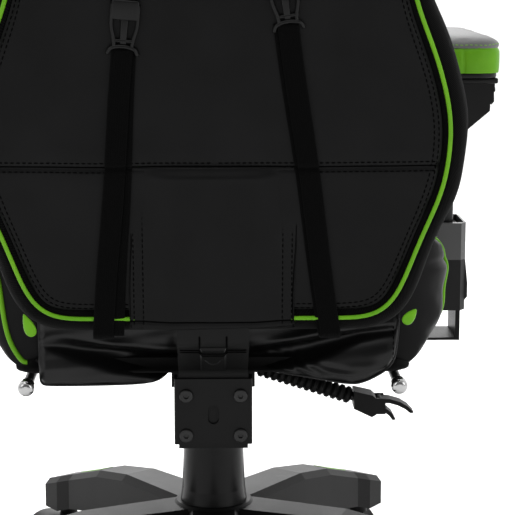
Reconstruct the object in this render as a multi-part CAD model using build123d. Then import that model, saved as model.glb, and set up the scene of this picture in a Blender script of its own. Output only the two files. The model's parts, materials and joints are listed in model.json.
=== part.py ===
from build123d import *
import os
from math import atan2, cos, degrees, radians, sin

# Gaming chair, millimetres. Origin on the floor on the column's axis, +Z up.
# The sitter faces -Y, the back of the chair is at +Y.

running_gap = 0.05  # radial clearance of a shaft in its hole

# Base
leg_count = 5
first_leg_angle = 90.0
hub_radius = 46.0
hub_bottom = 88.0
hub_top = 163.0
leg_wall = 4.5
leg_rib_thickness = 3.0
caster_circle = 318.0
leg_tip_bottom = 73.0
stem_radius = 5.5
stem_top = 102.0

# Casters
wheel_radius = 30.0
wheel_inner_face = 6.0
wheel_outer_face = 25.5
caster_trail = 20.0
caster_axle_radius = 4.0
caster_web_half = 5.4
hood_gap = 1.6
hood_wall = 2.6
hood_half_width = 26.0
hood_top = 69.6

# Column
tube_radius = 25.0
tube_wall = 2.0
tube_bottom = 58.0
tube_top = 232.0
cylinder_radius = 14.0
cylinder_bottom = 98.0
cylinder_top = 300.0
cylinder_bore = 11.0
rod_radius = 5.0
release_pin_radius = 2.5
lower_cover_top = 240.0

# Mechanism under the seat
board_bottom = 350.0
board_thickness = 12.0
tray_half_width = 46.0
tray_neck = 30.0  # the tray narrows behind this station
neck_half_width = 40.0
tray_front = -100.0
tray_rear = 95.0
tray_bottom = 300.0
tray_wall = 3.0
socket_bottom = 262.0
socket_radius = 22.0

# Recline pivot and bracket
pivot_y = 140.0
pivot_z = 300.0
pivot_radius = 6.0
ear_inner = 30.0
ear_outer = 34.0
bracket_half_width = 39.5
bracket_wall = 3.0
bracket_rear = 195.0
bracket_bottom = 282.0
bracket_top = 350.0
bolt_x = 27.5
bolt_rows = (291.4, 332.7)
bolt_head_radius = 7.0
bolt_shank_radius = 4.0

# Back: its own plane starts at the rear face's bottom edge and leans rearwards
back_lean = 8.0
back_rear_y = 244.0
back_bottom_z = 405.0
back_height = 830.0
back_depth = 70.0
bolster_rise = 45.0
bottom_flat = 140.0
# half width of the back and the height up the back where it has it
back_outline = (
    (166.0, 3.5),
    (183.0, 14.0),
    (197.0, 34.0),
    (211.0, 75.0),
    (224.0, 109.0),
    (236.0, 134.0),
    (243.0, 174.0),
    (245.0, 212.0),
    (237.0, 251.0),
    (220.0, 301.0),
    (201.0, 345.0),
    (202.0, 400.0),
    (224.0, 470.0),
    (243.0, 520.0),
    (250.0, 565.0),
    (242.0, 620.0),
    (220.0, 685.0),
    (192.0, 742.0),
    (158.0, 790.0),
    (112.0, 818.0),
    (58.0, 828.0),
)
spine_half_width = 35.0
spine_thickness = 6.0
spine_up_the_back = 155.0
slot_inner_x = 56.0
slot_outer_x = 124.0
slot_low = 640.0
slot_high = 672.0
strap_top = 638.0

# Seat
seat_half_width = 246.0
seat_front = -305.0
seat_rear = 164.0
pad_half_width = 165.0
pad_top = 452.0
bolster_top = 490.0
seat_corner = 50.0

# Arms
arm_y = -20.0
shroud_inner = 247.5
shroud_outer = 280.0
shroud_wall = 2.5
shroud_bottom = 382.0
shroud_seam = 439.0
shroud_top = 480.0
post_inner = 251.0
post_outer = 267.0
post_half_depth = 23.0
post_bottom = 390.0
sleeve_inner = 240.0
sleeve_outer = 302.0
sleeve_bottom = 582.0
sleeve_top = 640.0
arm_pad_inner = 226.0
arm_pad_outer = 315.0
arm_pad_top = 684.0
arm_pad_front = -210.0
arm_pad_rear = 40.0

# Levers
lever_y = 20.0
lever_start = (-43.0, 321.9)
lever_end = (-156.0, 285.7)
bellows_rings = 14
bellows_outer = 9.5
bellows_root = 7.0
lever_tube_radius = 5.0
block_outer_x = -181.0
knuckle_x = -185.5
upper_knuckle_z = 282.0
lower_knuckle_z = 272.5
knuckle_radius = 3.8

# Footrest
rod_x = 190.0
rod_z = 338.0
footrest_rod_radius = 5.25
rod_rear = 176.0
crossbar_y = -296.0
crossbar_radius = 8.0
cap_radius = 8.5
footrest_half_width = 150.0


def block(x0, x1, y0, y1, z0, z1):
    """A box given by its two corners."""
    middle = Pos((x0 + x1) / 2, (y0 + y1) / 2, (z0 + z1) / 2)
    return middle * Box(abs(x1 - x0), abs(y1 - y0), abs(z1 - z0))


def upright(radius, z0, z1, x=0.0, y=0.0):
    """A cylinder along Z."""
    return Pos(x, y, (z0 + z1) / 2) * Cylinder(radius, z1 - z0)


def pipe(outer, inner, z0, z1, x=0.0, y=0.0):
    """A tube along Z."""
    return upright(outer, z0, z1, x, y) - upright(inner, z0 - 1, z1 + 1, x, y)


def crosswise(radius, x0, x1, y, z):
    """A cylinder along X."""
    return Pos((x0 + x1) / 2, y, z) * Rot(0, 90, 0) * Cylinder(radius, abs(x1 - x0))


def lengthwise(radius, y0, y1, x, z):
    """A cylinder along Y."""
    return Pos(x, (y0 + y1) / 2, z) * Rot(90, 0, 0) * Cylinder(radius, abs(y1 - y0))


def side_prism(points, x0, x1):
    """An outline of (y, z) points, extruded along X."""
    face = make_face(Polyline(*points, close=True))
    return extrude(Plane.YZ.offset(x0) * face, x1 - x0)


def front_prism(points, y0, y1):
    """An outline of (x, z) points, extruded along Y."""
    face = make_face(Polyline(*points, close=True))
    return extrude(Plane.XZ.offset(-y1) * face, y1 - y0)


def plan_prism(points, z0, z1):
    """An outline of (x, y) points, extruded along Z."""
    face = make_face(Polyline(*points, close=True))
    return extrude(Plane.XY.offset(z0) * face, z1 - z0)


def both_sides(part):
    """A part and its mirror image across the middle plane, as one group."""
    return Compound(children=[part, mirror(part, about=Plane.YZ)])


def save(node, part):
    """Write one named sub-part."""
    os.makedirs("parts", exist_ok=True)
    export_step(part, "parts/" + node + ".step")
    print(node, "written")


# ---- Base -----------------------------------------------------------------

# a leg's cross-sections: distance out, half width, top and foot
leg_stations = (
    (20.0, 31.0, 161.0, 104.0),
    (60.0, 30.0, 160.0, 102.5),
    (150.0, 27.0, 157.5, 98.0),
    (212.0, 24.5, 147.0, 94.5),
    (280.0, 22.5, 125.1, 80.5),
    (302.0, 27.0, 118.0, 73.0),
    (330.0, 27.0, 109.0, 73.0),
    (341.0, 18.0, 99.0, 78.0),
)


def leg_section(out, half, top, foot, slope):
    """One cross-section of a leg, with its two upper corners cut off."""
    points = (
        (-half, foot), (-half, top - slope), (-half + slope, top),
        (half - slope, top), (half, top - slope), (half, foot),
    )
    return Plane.YZ.offset(out) * make_face(Polyline(*points, close=True))


def base_leg():
    leg = loft([leg_section(*station, 7.0) for station in leg_stations], ruled=True)
    inner_stations = [
        (out, half - leg_wall, top - leg_wall, foot - 40.0) for out, half, top, foot in leg_stations[:-1]
    ]
    hollow = loft([leg_section(*station, 6.0) for station in inner_stations], ruled=True)
    for x in (95.0, 160.0, 225.0, 285.0):
        hollow -= block(x, x + leg_rib_thickness, -40, 40, 96, 170)
    hollow -= upright(13.0, 0, 200, caster_circle)
    return leg - hollow


def leg_inlay():
    """A green inlay strip let into the sloping top of a leg, along +X."""
    slope = (109.0 - 147.0) / (330.0 - 212.0)
    start, stop = 226.0, 276.0
    top_start = 147.0 + (start - 212.0) * slope
    top_stop = 147.0 + (stop - 212.0) * slope
    side = (
        (start, top_start + 0.8), (stop, top_stop + 0.8),
        (stop, top_stop - 2.0), (start, top_start - 2.0),
    )
    plan = plan_prism(((start, 10.0), (stop, 6.0), (stop, -6.0), (start, -10.0)), 0, 200)
    return front_prism(side, -15, 15) & plan


def leg_angles():
    return [first_leg_angle + i * 360.0 / leg_count for i in range(leg_count)]


def column_taper(grow=0.0):
    """The tapered seat of the outer tube in the hub."""
    return Pos(0, 0, (hub_bottom + hub_top) / 2) * Cone(
        tube_radius - 0.8 + grow, tube_radius + grow, hub_top - hub_bottom
    )


def base():
    hub = upright(hub_radius, hub_bottom, hub_top - 4)
    hub += Pos(0, 0, hub_top - 2) * Cone(hub_radius, hub_radius - 4, 4)
    star = hub
    inlays = []
    stems = []
    leg = base_leg()
    inlay = leg_inlay()
    for angle in leg_angles():
        turn = Rot(0, 0, angle)
        star += turn * leg
        inlays.append(turn * inlay)
        stem = upright(stem_radius, 40.0, stem_top, caster_circle)
        stem += upright(9.0, 70.2, leg_tip_bottom, caster_circle)
        stems.append(turn * stem)
    star -= column_taper()
    for inlay, stem in zip(inlays, stems):
        star -= inlay
        star -= stem
    save("base_star", star)
    save("base_inlays", Compound(children=inlays))
    save("caster_stems", Compound(children=stems))


# ---- Casters --------------------------------------------------------------


def caster_wheel():
    """One wheel of a pair, standing on +Y's side of the web, its axle along Y."""
    width = wheel_outer_face - wheel_inner_face
    middle_y = (wheel_inner_face + wheel_outer_face) / 2
    wheel = Pos(0, middle_y, 0) * Rot(90, 0, 0) * Cylinder(wheel_radius, width)
    wheel = fillet(wheel.edges().filter_by(GeomType.CIRCLE), 3.0)
    wheel -= lengthwise(21.0, wheel_outer_face - 3.0, wheel_outer_face + 5, 0, 0)
    return wheel - lengthwise(caster_axle_radius, -60, 60, 0, 0)


def casters():
    centre = Pos(caster_trail, 0, wheel_radius)
    hood_inner = wheel_radius + hood_gap
    hood_outer = hood_inner + hood_wall
    hood = lengthwise(hood_outer, -hood_half_width, hood_half_width, 0, 0)
    hood -= lengthwise(hood_inner, -60, 60, 0, 0)
    hood -= block(-60, 60, -60, 60, -60, -4.0)
    hood -= block(14, 60, -60, 60, -60, 8.0)
    web = lengthwise(24.0, -caster_web_half, caster_web_half, 0, 0)
    web += block(-24, 12, -caster_web_half, caster_web_half, 0, hood_inner + 1)
    hood = centre * (hood + web)
    hood += upright(11.0, 46.0, hood_top)
    hood += block(-11, 20, -caster_web_half, caster_web_half, 40, 62)
    hood -= centre * lengthwise(caster_axle_radius + running_gap, -60, 60, 0, 0)
    hood -= centre * (lengthwise(hood_inner, wheel_inner_face - 0.6, 30, 0, 0))
    hood -= centre * (lengthwise(hood_inner, -30, -wheel_inner_face + 0.6, 0, 0))
    hood -= upright(stem_radius + running_gap, 39.5, 80)
    near_wheel = caster_wheel()
    far_wheel = mirror(near_wheel, about=Plane.XZ)
    axle = lengthwise(caster_axle_radius, -20, 20, 0, 0)
    for number, angle in enumerate(leg_angles(), start=1):
        place = Rot(0, 0, angle) * Pos(caster_circle, 0, 0) * Rot(0, 0, 90)
        wheels = [place * centre * solid for solid in (near_wheel, far_wheel, axle)]
        save(f"caster_hood_{number}", place * hood)
        save(f"caster_wheels_{number}", Compound(children=wheels))


# ---- Column ---------------------------------------------------------------


def column():
    inner = tube_radius - tube_wall
    tube = column_taper()
    tube += upright(tube_radius - 0.8, tube_bottom, hub_bottom)
    tube += upright(tube_radius, hub_top, tube_top)
    tube -= upright(inner, tube_bottom + 4, tube_top + 1)
    tube -= upright(rod_radius, tube_bottom - 1, tube_bottom + 5)
    save("lift_tube", tube)
    save("lift_bush", pipe(inner, cylinder_radius + running_gap, tube_top - 50, tube_top))
    save("lift_rod", upright(rod_radius, tube_bottom, 195.0))
    bearing = pipe(14.0, rod_radius, tube_bottom + 4, tube_bottom + 12)
    save("lift_bearing", bearing + pipe(12.0, rod_radius, tube_bottom + 12, tube_bottom + 26))

    cylinder = upright(cylinder_radius, cylinder_bottom, socket_bottom)
    taper = Cone(cylinder_radius, cylinder_radius - 0.7, cylinder_top - socket_bottom)
    cylinder += Pos(0, 0, (cylinder_top + socket_bottom) / 2) * taper
    cylinder -= upright(cylinder_bore, cylinder_bottom + 8, 268.0)
    cylinder -= upright(rod_radius + running_gap, cylinder_bottom - 1, cylinder_bottom + 9)
    cylinder -= upright(release_pin_radius + running_gap, 267.0, cylinder_top + 1)
    save("gas_cylinder", cylinder)
    save("release_pin", upright(release_pin_radius, 272.0, cylinder_top + 5))

    lower_outline = (
        (29.9, hub_top), (37.6, hub_top), (35.6, 178.0), (33.0, lower_cover_top),
    )
    lower_face = make_face(Polyline(*lower_outline, (29.9, lower_cover_top), close=True))
    lower = revolve(Plane.XZ * lower_face, Axis.Z)
    save("column_cover_lower", lower)
    middle = pipe(29.4, 27.7, 165.0, 240.0)
    save("column_cover_middle", middle)
    upper = pipe(27.2, 25.6, 166.0, 257.0) + pipe(30.0, 15.5, 257.0, 261.0)
    save("column_cover_upper", upper)


# ---- Mechanism ------------------------------------------------------------


def mechanism():
    tray = block(-tray_half_width, tray_half_width, tray_front, tray_neck, tray_bottom, board_bottom)
    tray += block(-neck_half_width, neck_half_width, 0, tray_rear, tray_bottom, board_bottom)
    inside_half = tray_half_width - tray_wall
    neck_inside = neck_half_width - tray_wall
    floor, mouth = tray_bottom + tray_wall, board_bottom + 1
    hollow = block(
        -inside_half, inside_half, tray_front + tray_wall, tray_neck - tray_wall, floor, mouth,
    )
    hollow += block(-neck_inside, neck_inside, 0, tray_rear - tray_wall, floor, mouth)
    tray -= hollow
    flange = block(-92, 92, tray_front - 22, 118, board_bottom - tray_wall, board_bottom)
    tray += flange - hollow
    tray += upright(socket_radius, socket_bottom, tray_bottom + tray_wall)
    for side in (-1, 1):
        ear_profile = (
            (90.0, 302.0), (90.0, 340.0), (128.0, 340.0), (158.0, 312.0),
            (158.0, 290.0), (146.0, 284.0), (110.0, 284.0),
        )
        ear = side_prism(ear_profile, *sorted((side * ear_inner, side * ear_outer)))
        tray += ear
    taper = Cone(cylinder_radius, cylinder_radius - 0.7, cylinder_top - socket_bottom)
    tray -= Pos(0, 0, (cylinder_top + socket_bottom) / 2) * taper
    tray -= upright(cylinder_radius - 0.7, cylinder_top - 0.5, tray_bottom + 10)
    tray -= crosswise(pivot_radius, -50, 50, pivot_y, pivot_z)
    tray -= lever_rod(lever_tube_radius)
    tray -= seat_screws()
    save("mechanism_tray", tray)

    pin = crosswise(pivot_radius, -39.2, 39.2, pivot_y, pivot_z)
    for side in (-1, 1):
        washer = crosswise(11.0, *sorted((side * 34.0, side * 36.4)), pivot_y, pivot_z)
        pin += washer
    save("pivot_pin", pin)


def screw(x, y, seat_z):
    """A pan-head screw going up into the seat board from its seating face."""
    head = upright(6.0, seat_z - 3.6, seat_z, x, y)
    return fillet(head.edges().group_by(Axis.Z)[0], 1.4) + upright(3.0, seat_z, board_bottom + 9, x, y)


def seat_screws():
    screws = []
    for x in (-78.0, 78.0):
        for y in (-105.0, 105.0):
            screws.append(screw(x, y, board_bottom - tray_wall))
    for x in (-166.0, -136.0, 136.0, 166.0):
        for y in (arm_y - 18, arm_y + 18):
            screws.append(screw(x, y, board_bottom - tray_wall))
    return Compound(children=screws)


# ---- Recline bracket and spine --------------------------------------------


def back_plane(forward=0.0):
    """The back's own plane: x across, y up the back, z forward from its rear face."""
    lean = radians(back_lean)
    plane = Plane(
        origin=(0, back_rear_y, back_bottom_z), x_dir=(1, 0, 0), z_dir=(0, -cos(lean), sin(lean))
    )
    return plane.offset(forward)


def on_back(x, up, forward=0.0):
    """A point of the back's own plane, in the chair's frame."""
    return back_plane().from_local_coords(Vector(x, up, forward))


def back_bolts():
    bolts = []
    for x in (-bolt_x, bolt_x):
        for z in bolt_rows:
            head = lengthwise(bolt_head_radius, bracket_rear - 0.5, bracket_rear + 3.2, x, z)
            head = fillet(head.edges().group_by(Axis.Y)[-1], 1.6)
            head += lengthwise(bolt_shank_radius, bracket_rear - 20, bracket_rear, x, z)
            nut = RegularPolygon(7.5, 6)
            head += extrude(Plane.XZ.offset(-(bracket_rear - 9.5)) * Pos(x, z) * nut, 6.0)
            socket = RegularPolygon(2.9, 6)
            head -= extrude(Plane.XZ.offset(-(bracket_rear + 4)) * Pos(x, z) * socket, 3.4)
            bolts.append(head)
    for x in (-22.0, 22.0):
        for up in (72.0, 128.0):
            body = Cylinder(bolt_shank_radius, 14.0, align=(Align.CENTER, Align.CENTER, Align.MIN))
            body += Cone(7.5, bolt_shank_radius, 4.0, align=(Align.CENTER, Align.CENTER, Align.MIN))
            bolts.append(back_plane(-spine_thickness) * Pos(x, up, 0) * body)
    return bolts


def spine_path():
    """The spine's rear face as (y, z) points, from its foot up the back."""
    top = on_back(0, spine_up_the_back, -spine_thickness)
    bend = on_back(0, -7.0, -spine_thickness)
    foot_y = bracket_rear - bracket_wall
    return ((foot_y, 277.0), (foot_y, bracket_top + 7.0), (bend.Y, bend.Z), (top.Y, top.Z))


def spine():
    line = FilletPolyline(*spine_path(), radius=14.0)
    strip = make_face(offset(line, amount=spine_thickness, side=Side.LEFT, closed=True))
    bar = extrude(Plane.YZ.offset(-spine_half_width) * strip, 2 * spine_half_width)
    start, stop = spine_path()[1], spine_path()[2]
    tilt = degrees(atan2(stop[1] - start[1], stop[0] - start[0]))
    rib_place = Pos(0, (start[0] + stop[0]) / 2, (start[1] + stop[1]) / 2) * Rot(tilt, 0, 0)
    rib = Box(26.0, 58.0, 5.0)
    rib = chamfer(rib.edges().group_by(Axis.Z)[0], 2.0)
    return bar + rib_place * rib


def slot_cut(radius, height):
    """The upright oval slot through the bracket's rear wall."""
    middle_z = 313.0
    reach = height / 2 - radius
    cut = block(-radius, radius, 170, 210, middle_z - reach, middle_z + reach)
    cut += lengthwise(radius, 170, 210, 0, middle_z - reach)
    return cut + lengthwise(radius, 170, 210, 0, middle_z + reach)


def bracket():
    side = (
        (bracket_rear, bracket_bottom),
        (bracket_rear, bracket_top),
        (174.0, bracket_top),
        (128.0, 318.0),
        (122.0, 300.0),
        (128.0, bracket_bottom),
    )
    shape = side_prism(side, -bracket_half_width, bracket_half_width)
    inner = bracket_half_width - bracket_wall
    shape -= block(-inner, inner, 0, bracket_rear - bracket_wall, 200, 400)
    shape = fillet(shape.edges().filter_by(Axis.Z).group_by(Axis.Y)[-1], 2.5)
    shape -= crosswise(pivot_radius + running_gap, -60, 60, pivot_y, pivot_z)
    return shape - slot_cut(5.5, 20.0)


def recline_parts():
    bolts = back_bolts()
    bracket_shape = bracket()
    spine_shape = spine()
    for bolt in bolts:
        bracket_shape -= bolt
        spine_shape -= bolt
    save("back_bracket", bracket_shape)
    save("back_spine", spine_shape)
    save("back_bolts", Compound(children=bolts))
    return bolts


# ---- Back -----------------------------------------------------------------


def half_width_at(up):
    """The back's half width at a height up the back, between the outline's points."""
    points = ((bottom_flat, 0.0),) + back_outline + ((0.0, back_height),)
    for (wide_a, up_a), (wide_b, up_b) in zip(points, points[1:]):
        if up_a <= up <= up_b:
            return wide_a + (wide_b - wide_a) * (up - up_a) / (up_b - up_a)
    return 0.0


def back_face():
    """The back's outline as a face in its own plane."""
    right_points = [(bottom_flat, 0.0)] + list(back_outline) + [(0.0, back_height)]
    left_points = [(-x, up) for x, up in right_points]
    right = Spline(*right_points)
    left = Spline(*left_points)
    return make_face(Curve() + [Line((-bottom_flat, 0), (bottom_flat, 0)), right, left])


def ring_face(inset):
    """A loop inside the outline, as a face."""
    heights = [inset + step * (back_height - 2.4 * inset) / 14 for step in range(15)]
    right = [(max(half_width_at(up) - inset, 40.0), up) for up in heights]
    left = [(-x, up) for x, up in reversed(right)]
    return make_face(Polyline(*(right + left), close=True))


def back_frame():
    """Flat steel hoop with crossbars and the plate that the spine bolts to."""
    ring = extrude(back_plane(12.0) * ring_face(48.0), 18.0)
    ring -= extrude(back_plane(11.0) * ring_face(70.0), 20.0)
    for low, high in ((50.0, 76.0), (130.0, 156.0), (560.0, 586.0)):
        reach = half_width_at((low + high) / 2) - 55.0
        ring += back_plane(21.0) * Pos(0, (low + high) / 2, 0) * Box(2 * reach, high - low, 18.0)
    plate = back_plane(6.0) * Pos(0, 103.0, 0) * Box(96.0, 110.0, 12.0)
    return ring + plate


def back_slots(depth):
    """The two harness slots through the upper back."""
    width = slot_outer_x - slot_inner_x
    middle_x = (slot_inner_x + slot_outer_x) / 2
    middle_up = (slot_low + slot_high) / 2
    slot = extrude(RectangleRounded(width, slot_high - slot_low, 13.0), depth, both=True)
    placed = [back_plane() * Pos(side * middle_x, middle_up, 0) * slot for side in (-1, 1)]
    return placed[0] + placed[1]


def wing_points(shrink):
    """The outline of a side bolster on the front of the back, drawn in by shrink."""
    heights = (112.0, 150.0, 200.0, 250.0, 310.0, 370.0, 430.0, 490.0, 550.0, 610.0)
    inner = (
        (152.0, 610.0), (150.0, 500.0), (136.0, 400.0), (140.0, 300.0), (158.0, 150.0), (168.0, 112.0),
    )
    points = [(half_width_at(up) - 12.0 - shrink, up) for up in heights]
    points += [(x + shrink, up) for x, up in inner]
    middle_up = (heights[0] + heights[-1]) / 2
    squeeze = 1 - 3 * shrink / (heights[-1] - heights[0])
    return [(x, middle_up + (up - middle_up) * squeeze) for x, up in points]


def back_parts(bolts):
    frame = back_frame()
    for bolt in bolts:
        frame -= bolt
    foam = extrude(back_plane() * back_face(), back_depth)
    foam -= back_frame()
    foam -= back_slots(120.0)
    for bolt in bolts:
        foam -= bolt
    save("back_frame", frame)
    save("back_foam", foam)

    root = make_face(Polyline(*wing_points(0.0), close=True))
    crest = make_face(Polyline(*wing_points(11.0), close=True))
    crest_plane = back_plane(back_depth + bolster_rise)
    wing = loft([back_plane(back_depth) * root, crest_plane * crest], ruled=True)
    save("back_bolsters", both_sides(wing))

    flap_points = (
        (-79.0, 0.0), (-79.0, -2.2), (-41.0, -9.0), (41.0, -9.0), (79.0, -2.2), (79.0, 0.0),
        (72.0, 0.0), (38.0, -6.3), (-38.0, -6.3), (-72.0, 0.0),
    )
    lean = radians(back_lean)
    flap_plane = Plane(
        origin=on_back(0, 11.0), x_dir=(1, 0, 0), z_dir=(0, sin(lean), cos(lean))
    )
    flap_face = make_face(Polyline(*[(x, -forward) for x, forward in flap_points], close=True))
    save("back_flap", extrude(flap_plane * flap_face, 160.0))


def strap(foot_x, top_x):
    """One webbing strap: up the rear of the back, under its bottom edge and up its front."""
    half = 10.0
    slot_x = 88.0 if top_x > 0 else -88.0
    rear = make_face(Polyline(
        (foot_x - half, -2.4), (foot_x + half, -2.4), (top_x + half, 300.0), (slot_x + half, strap_top),
        (slot_x - half, strap_top), (top_x - half, 300.0), close=True,
    ))
    shape = extrude(back_plane(-2.0) * rear, 1.7)
    under = Box(2 * half, 1.7, back_depth + 4.0, align=(Align.CENTER, Align.MAX, Align.MIN))
    shape += back_plane(-2.0) * Pos(foot_x, -0.7, 0) * under
    front = Box(2 * half, 60.0, 1.7, align=(Align.CENTER, Align.MIN, Align.MIN))
    return shape + back_plane(back_depth + 0.3) * Pos(foot_x, -2.4, 0) * front


def buckle(x, up, turn):
    """A side-release buckle: body above, forked tongue and bar below."""
    body = extrude(RectangleRounded(27.0, 24.0, 4.0), 5.0)
    mouth = Pos(0, -20.0) * RectangleRounded(27.0, 10.0, 3.0)
    prongs = [Pos(side * 9.0, -12.0) * Rectangle(4.0, 14.0) for side in (-1, 0, 1)]
    tongue = extrude(mouth + prongs[0] + prongs[1] + prongs[2], 4.0)
    place = back_plane(-7.4) * Pos(x, up, 0) * Rot(0, 0, turn)
    return place * (body + tongue)


def pillow(width, height, depth, up):
    """A soft pillow lying on the front of the back."""
    shape = extrude(RectangleRounded(width, height, 28.0), depth)
    shape = fillet(shape.edges().group_by(Axis.Z)[-1], 22.0)
    return back_plane(back_depth + 2.4) * Pos(0, up, 0) * shape


def back_trim():
    save("back_straps", Compound(children=[strap(106.0, 82.0), strap(-114.0, -72.0)]))
    buckles = [buckle(81.5, 306.0, 4.0), buckle(-71.5, 330.0, -6.0)]
    save("strap_buckles", Compound(children=buckles))
    save("lumbar_pillow", pillow(270.0, 150.0, 62.0, 160.0))
    save("head_pillow", pillow(230.0, 118.0, 58.0, 742.0))


# ---- Seat -----------------------------------------------------------------


def seat_plan(z0, z1):
    """The seat's outline seen from above, with rounded corners."""
    depth = seat_rear - seat_front
    outline = RectangleRounded(2 * seat_half_width, depth, seat_corner)
    return extrude(Plane.XY.offset(z0) * Pos(0, (seat_front + seat_rear) / 2) * outline, z1 - z0)


def seat():
    board_top = board_bottom + board_thickness
    board_points = (
        (-200.0, -272.0), (200.0, -272.0), (200.0, 60.0), (176.0, 150.0), (-176.0, 150.0), (-200.0, 60.0),
    )
    board = plan_prism(board_points, board_bottom, board_top)
    board -= upright(20.0, 300, 400)
    board -= seat_screws()
    save("seat_board", board)

    pad = block(-pad_half_width, pad_half_width, seat_front, seat_rear, board_top, pad_top)
    pad = fillet(pad.edges().filter_by(Axis.X).group_by(Axis.Z)[-1], 24.0)
    save("seat_pad", pad)

    inner = pad_half_width + 0.4
    section = (
        (inner, board_top), (204.0, board_bottom + 1), (228.0, 380.0), (240.0, 406.0), (246.0, 453.0),
        (243.0, 478.0), (228.0, bolster_top), (200.0, bolster_top), (176.0, 466.0), (inner, pad_top),
    )
    bolster = front_prism(section, seat_front + 6, seat_rear) & seat_plan(300, 520)
    bolster -= plan_prism(board_points, board_bottom, board_top)
    save("seat_bolsters", both_sides(bolster))


# ---- Arms -----------------------------------------------------------------


def arm_shroud(z0, z1, bulge):
    """A hollow shroud around the post; bulge is how far its foot stands out."""
    half = 36.0
    outer = plan_prism(
        ((shroud_inner, arm_y - half), (shroud_outer - 6, arm_y - half), (shroud_outer, arm_y - half + 8),
         (shroud_outer, arm_y + half - 8), (shroud_outer - 6, arm_y + half), (shroud_inner, arm_y + half)),
        z0, z1,
    )
    if bulge:
        foot = (
            (shroud_inner, z0), (shroud_outer - 8, z0), (shroud_outer + bulge, z0 + 14),
            (shroud_outer + bulge, z0 + 30), (shroud_outer, z1), (shroud_inner, z1),
        )
        outer += front_prism(foot, arm_y - half + 8, arm_y + half - 8)
    inside = block(
        shroud_inner + shroud_wall, shroud_outer - shroud_wall,
        arm_y - half + 6, arm_y + half - 6, z0 - 1, z1 + 1,
    )
    return outer - inside


def arm_bracket():
    """Steel strap from under the seat board, out to the post and up inside the shroud."""
    flat = block(120.0, 275.0, arm_y - 30, arm_y + 30, board_bottom - tray_wall, board_bottom)
    upstand = block(270.0, 275.0, arm_y - 30, arm_y + 30, board_bottom - tray_wall, 474.0)
    return flat + upstand - seat_screws()


def arm_sleeve():
    section = (
        (sleeve_inner, sleeve_bottom + 8), (sleeve_inner + 8, sleeve_bottom),
        (sleeve_outer - 26, sleeve_bottom), (sleeve_outer, sleeve_bottom + 22),
        (sleeve_outer, sleeve_top), (sleeve_inner, sleeve_top),
    )
    shape = front_prism(section, arm_y - 40, arm_y + 40)
    shape = fillet(shape.edges().filter_by(Axis.Y), 3.0)
    shape -= arm_post()
    for low, high in ((-32.0, -27.0), (27.0, 32.0)):
        shape += block(sleeve_outer - 1, 308.0, arm_y + low, arm_y + high, 626.0, 633.0)
    return shape + lengthwise(1.2, arm_y - 30, arm_y + 30, 305.0, 629.5)


def arm_post():
    front, rear = arm_y - post_half_depth, arm_y + post_half_depth
    post = block(post_inner, post_outer, front, rear, post_bottom, sleeve_top)
    post = fillet(post.edges().filter_by(Axis.Z), 6.0)
    hollow = block(post_inner + 2.5, post_outer - 2.5, arm_y - 20, arm_y + 20, post_bottom - 1, 575.0)
    return post - hollow


def arm_release():
    section = ((302.6, 612.0), (305.5, 609.5), (308.5, 613.0), (308.0, 630.0), (303.4, 630.0))
    lever = front_prism(section, arm_y - 26, arm_y + 26)
    lever += lengthwise(2.6, arm_y - 26, arm_y + 26, 305.0, 629.5)
    return lever - lengthwise(1.2 + running_gap, arm_y - 40, arm_y + 40, 305.0, 629.5)


def arm_pad():
    middle_x = (arm_pad_inner + arm_pad_outer) / 2
    middle_y = (arm_pad_front + arm_pad_rear) / 2
    outline = RectangleRounded(arm_pad_outer - arm_pad_inner, arm_pad_rear - arm_pad_front, 26.0)
    underside = Plane.XY.offset(sleeve_top) * Pos(middle_x, middle_y) * outline
    pad = extrude(underside, arm_pad_top - sleeve_top)
    return fillet(pad.edges().group_by(Axis.Z)[-1], 12.0)


def arms():
    save("arm_brackets", both_sides(arm_bracket()))
    save("arm_shrouds_lower", both_sides(arm_shroud(shroud_bottom, shroud_seam, 3.0)))
    save("arm_shrouds_upper", both_sides(arm_shroud(shroud_seam, shroud_top, 0.0)))
    moving = {
        "arm_post": arm_post(),
        "arm_sleeve": arm_sleeve(),
        "arm_pad": arm_pad(),
        "arm_release": arm_release(),
    }
    for name, part in moving.items():
        save(name + "_left", part)
        save(name + "_right", mirror(part, about=Plane.YZ))


# ---- Levers ---------------------------------------------------------------


def lever_direction():
    run_x = lever_end[0] - lever_start[0]
    run_z = lever_end[1] - lever_start[1]
    return run_x, run_z, (run_x ** 2 + run_z ** 2) ** 0.5


def lever_plane():
    """A plane at the tray's side wall whose normal runs down along the lever tube."""
    run_x, run_z, length = lever_direction()
    along = (run_x / length, 0, run_z / length)
    return Plane(origin=(lever_start[0], lever_y, lever_start[1]), x_dir=(0, 1, 0), z_dir=along)


def lever_rod(radius):
    length = lever_direction()[2]
    return lever_plane() * Cylinder(radius, length + 8, align=(Align.CENTER, Align.CENTER, Align.MIN))


def paddle(points, knuckle_z):
    """A finger paddle on its knuckle, with a bore for its pin."""
    blade = front_prism(points, lever_y - 9.6, lever_y + 9.6)
    blade += lengthwise(knuckle_radius, lever_y - 9.6, lever_y + 9.6, knuckle_x, knuckle_z)
    return blade - lengthwise(1.5 + running_gap, lever_y - 20, lever_y + 20, knuckle_x, knuckle_z)


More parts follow.
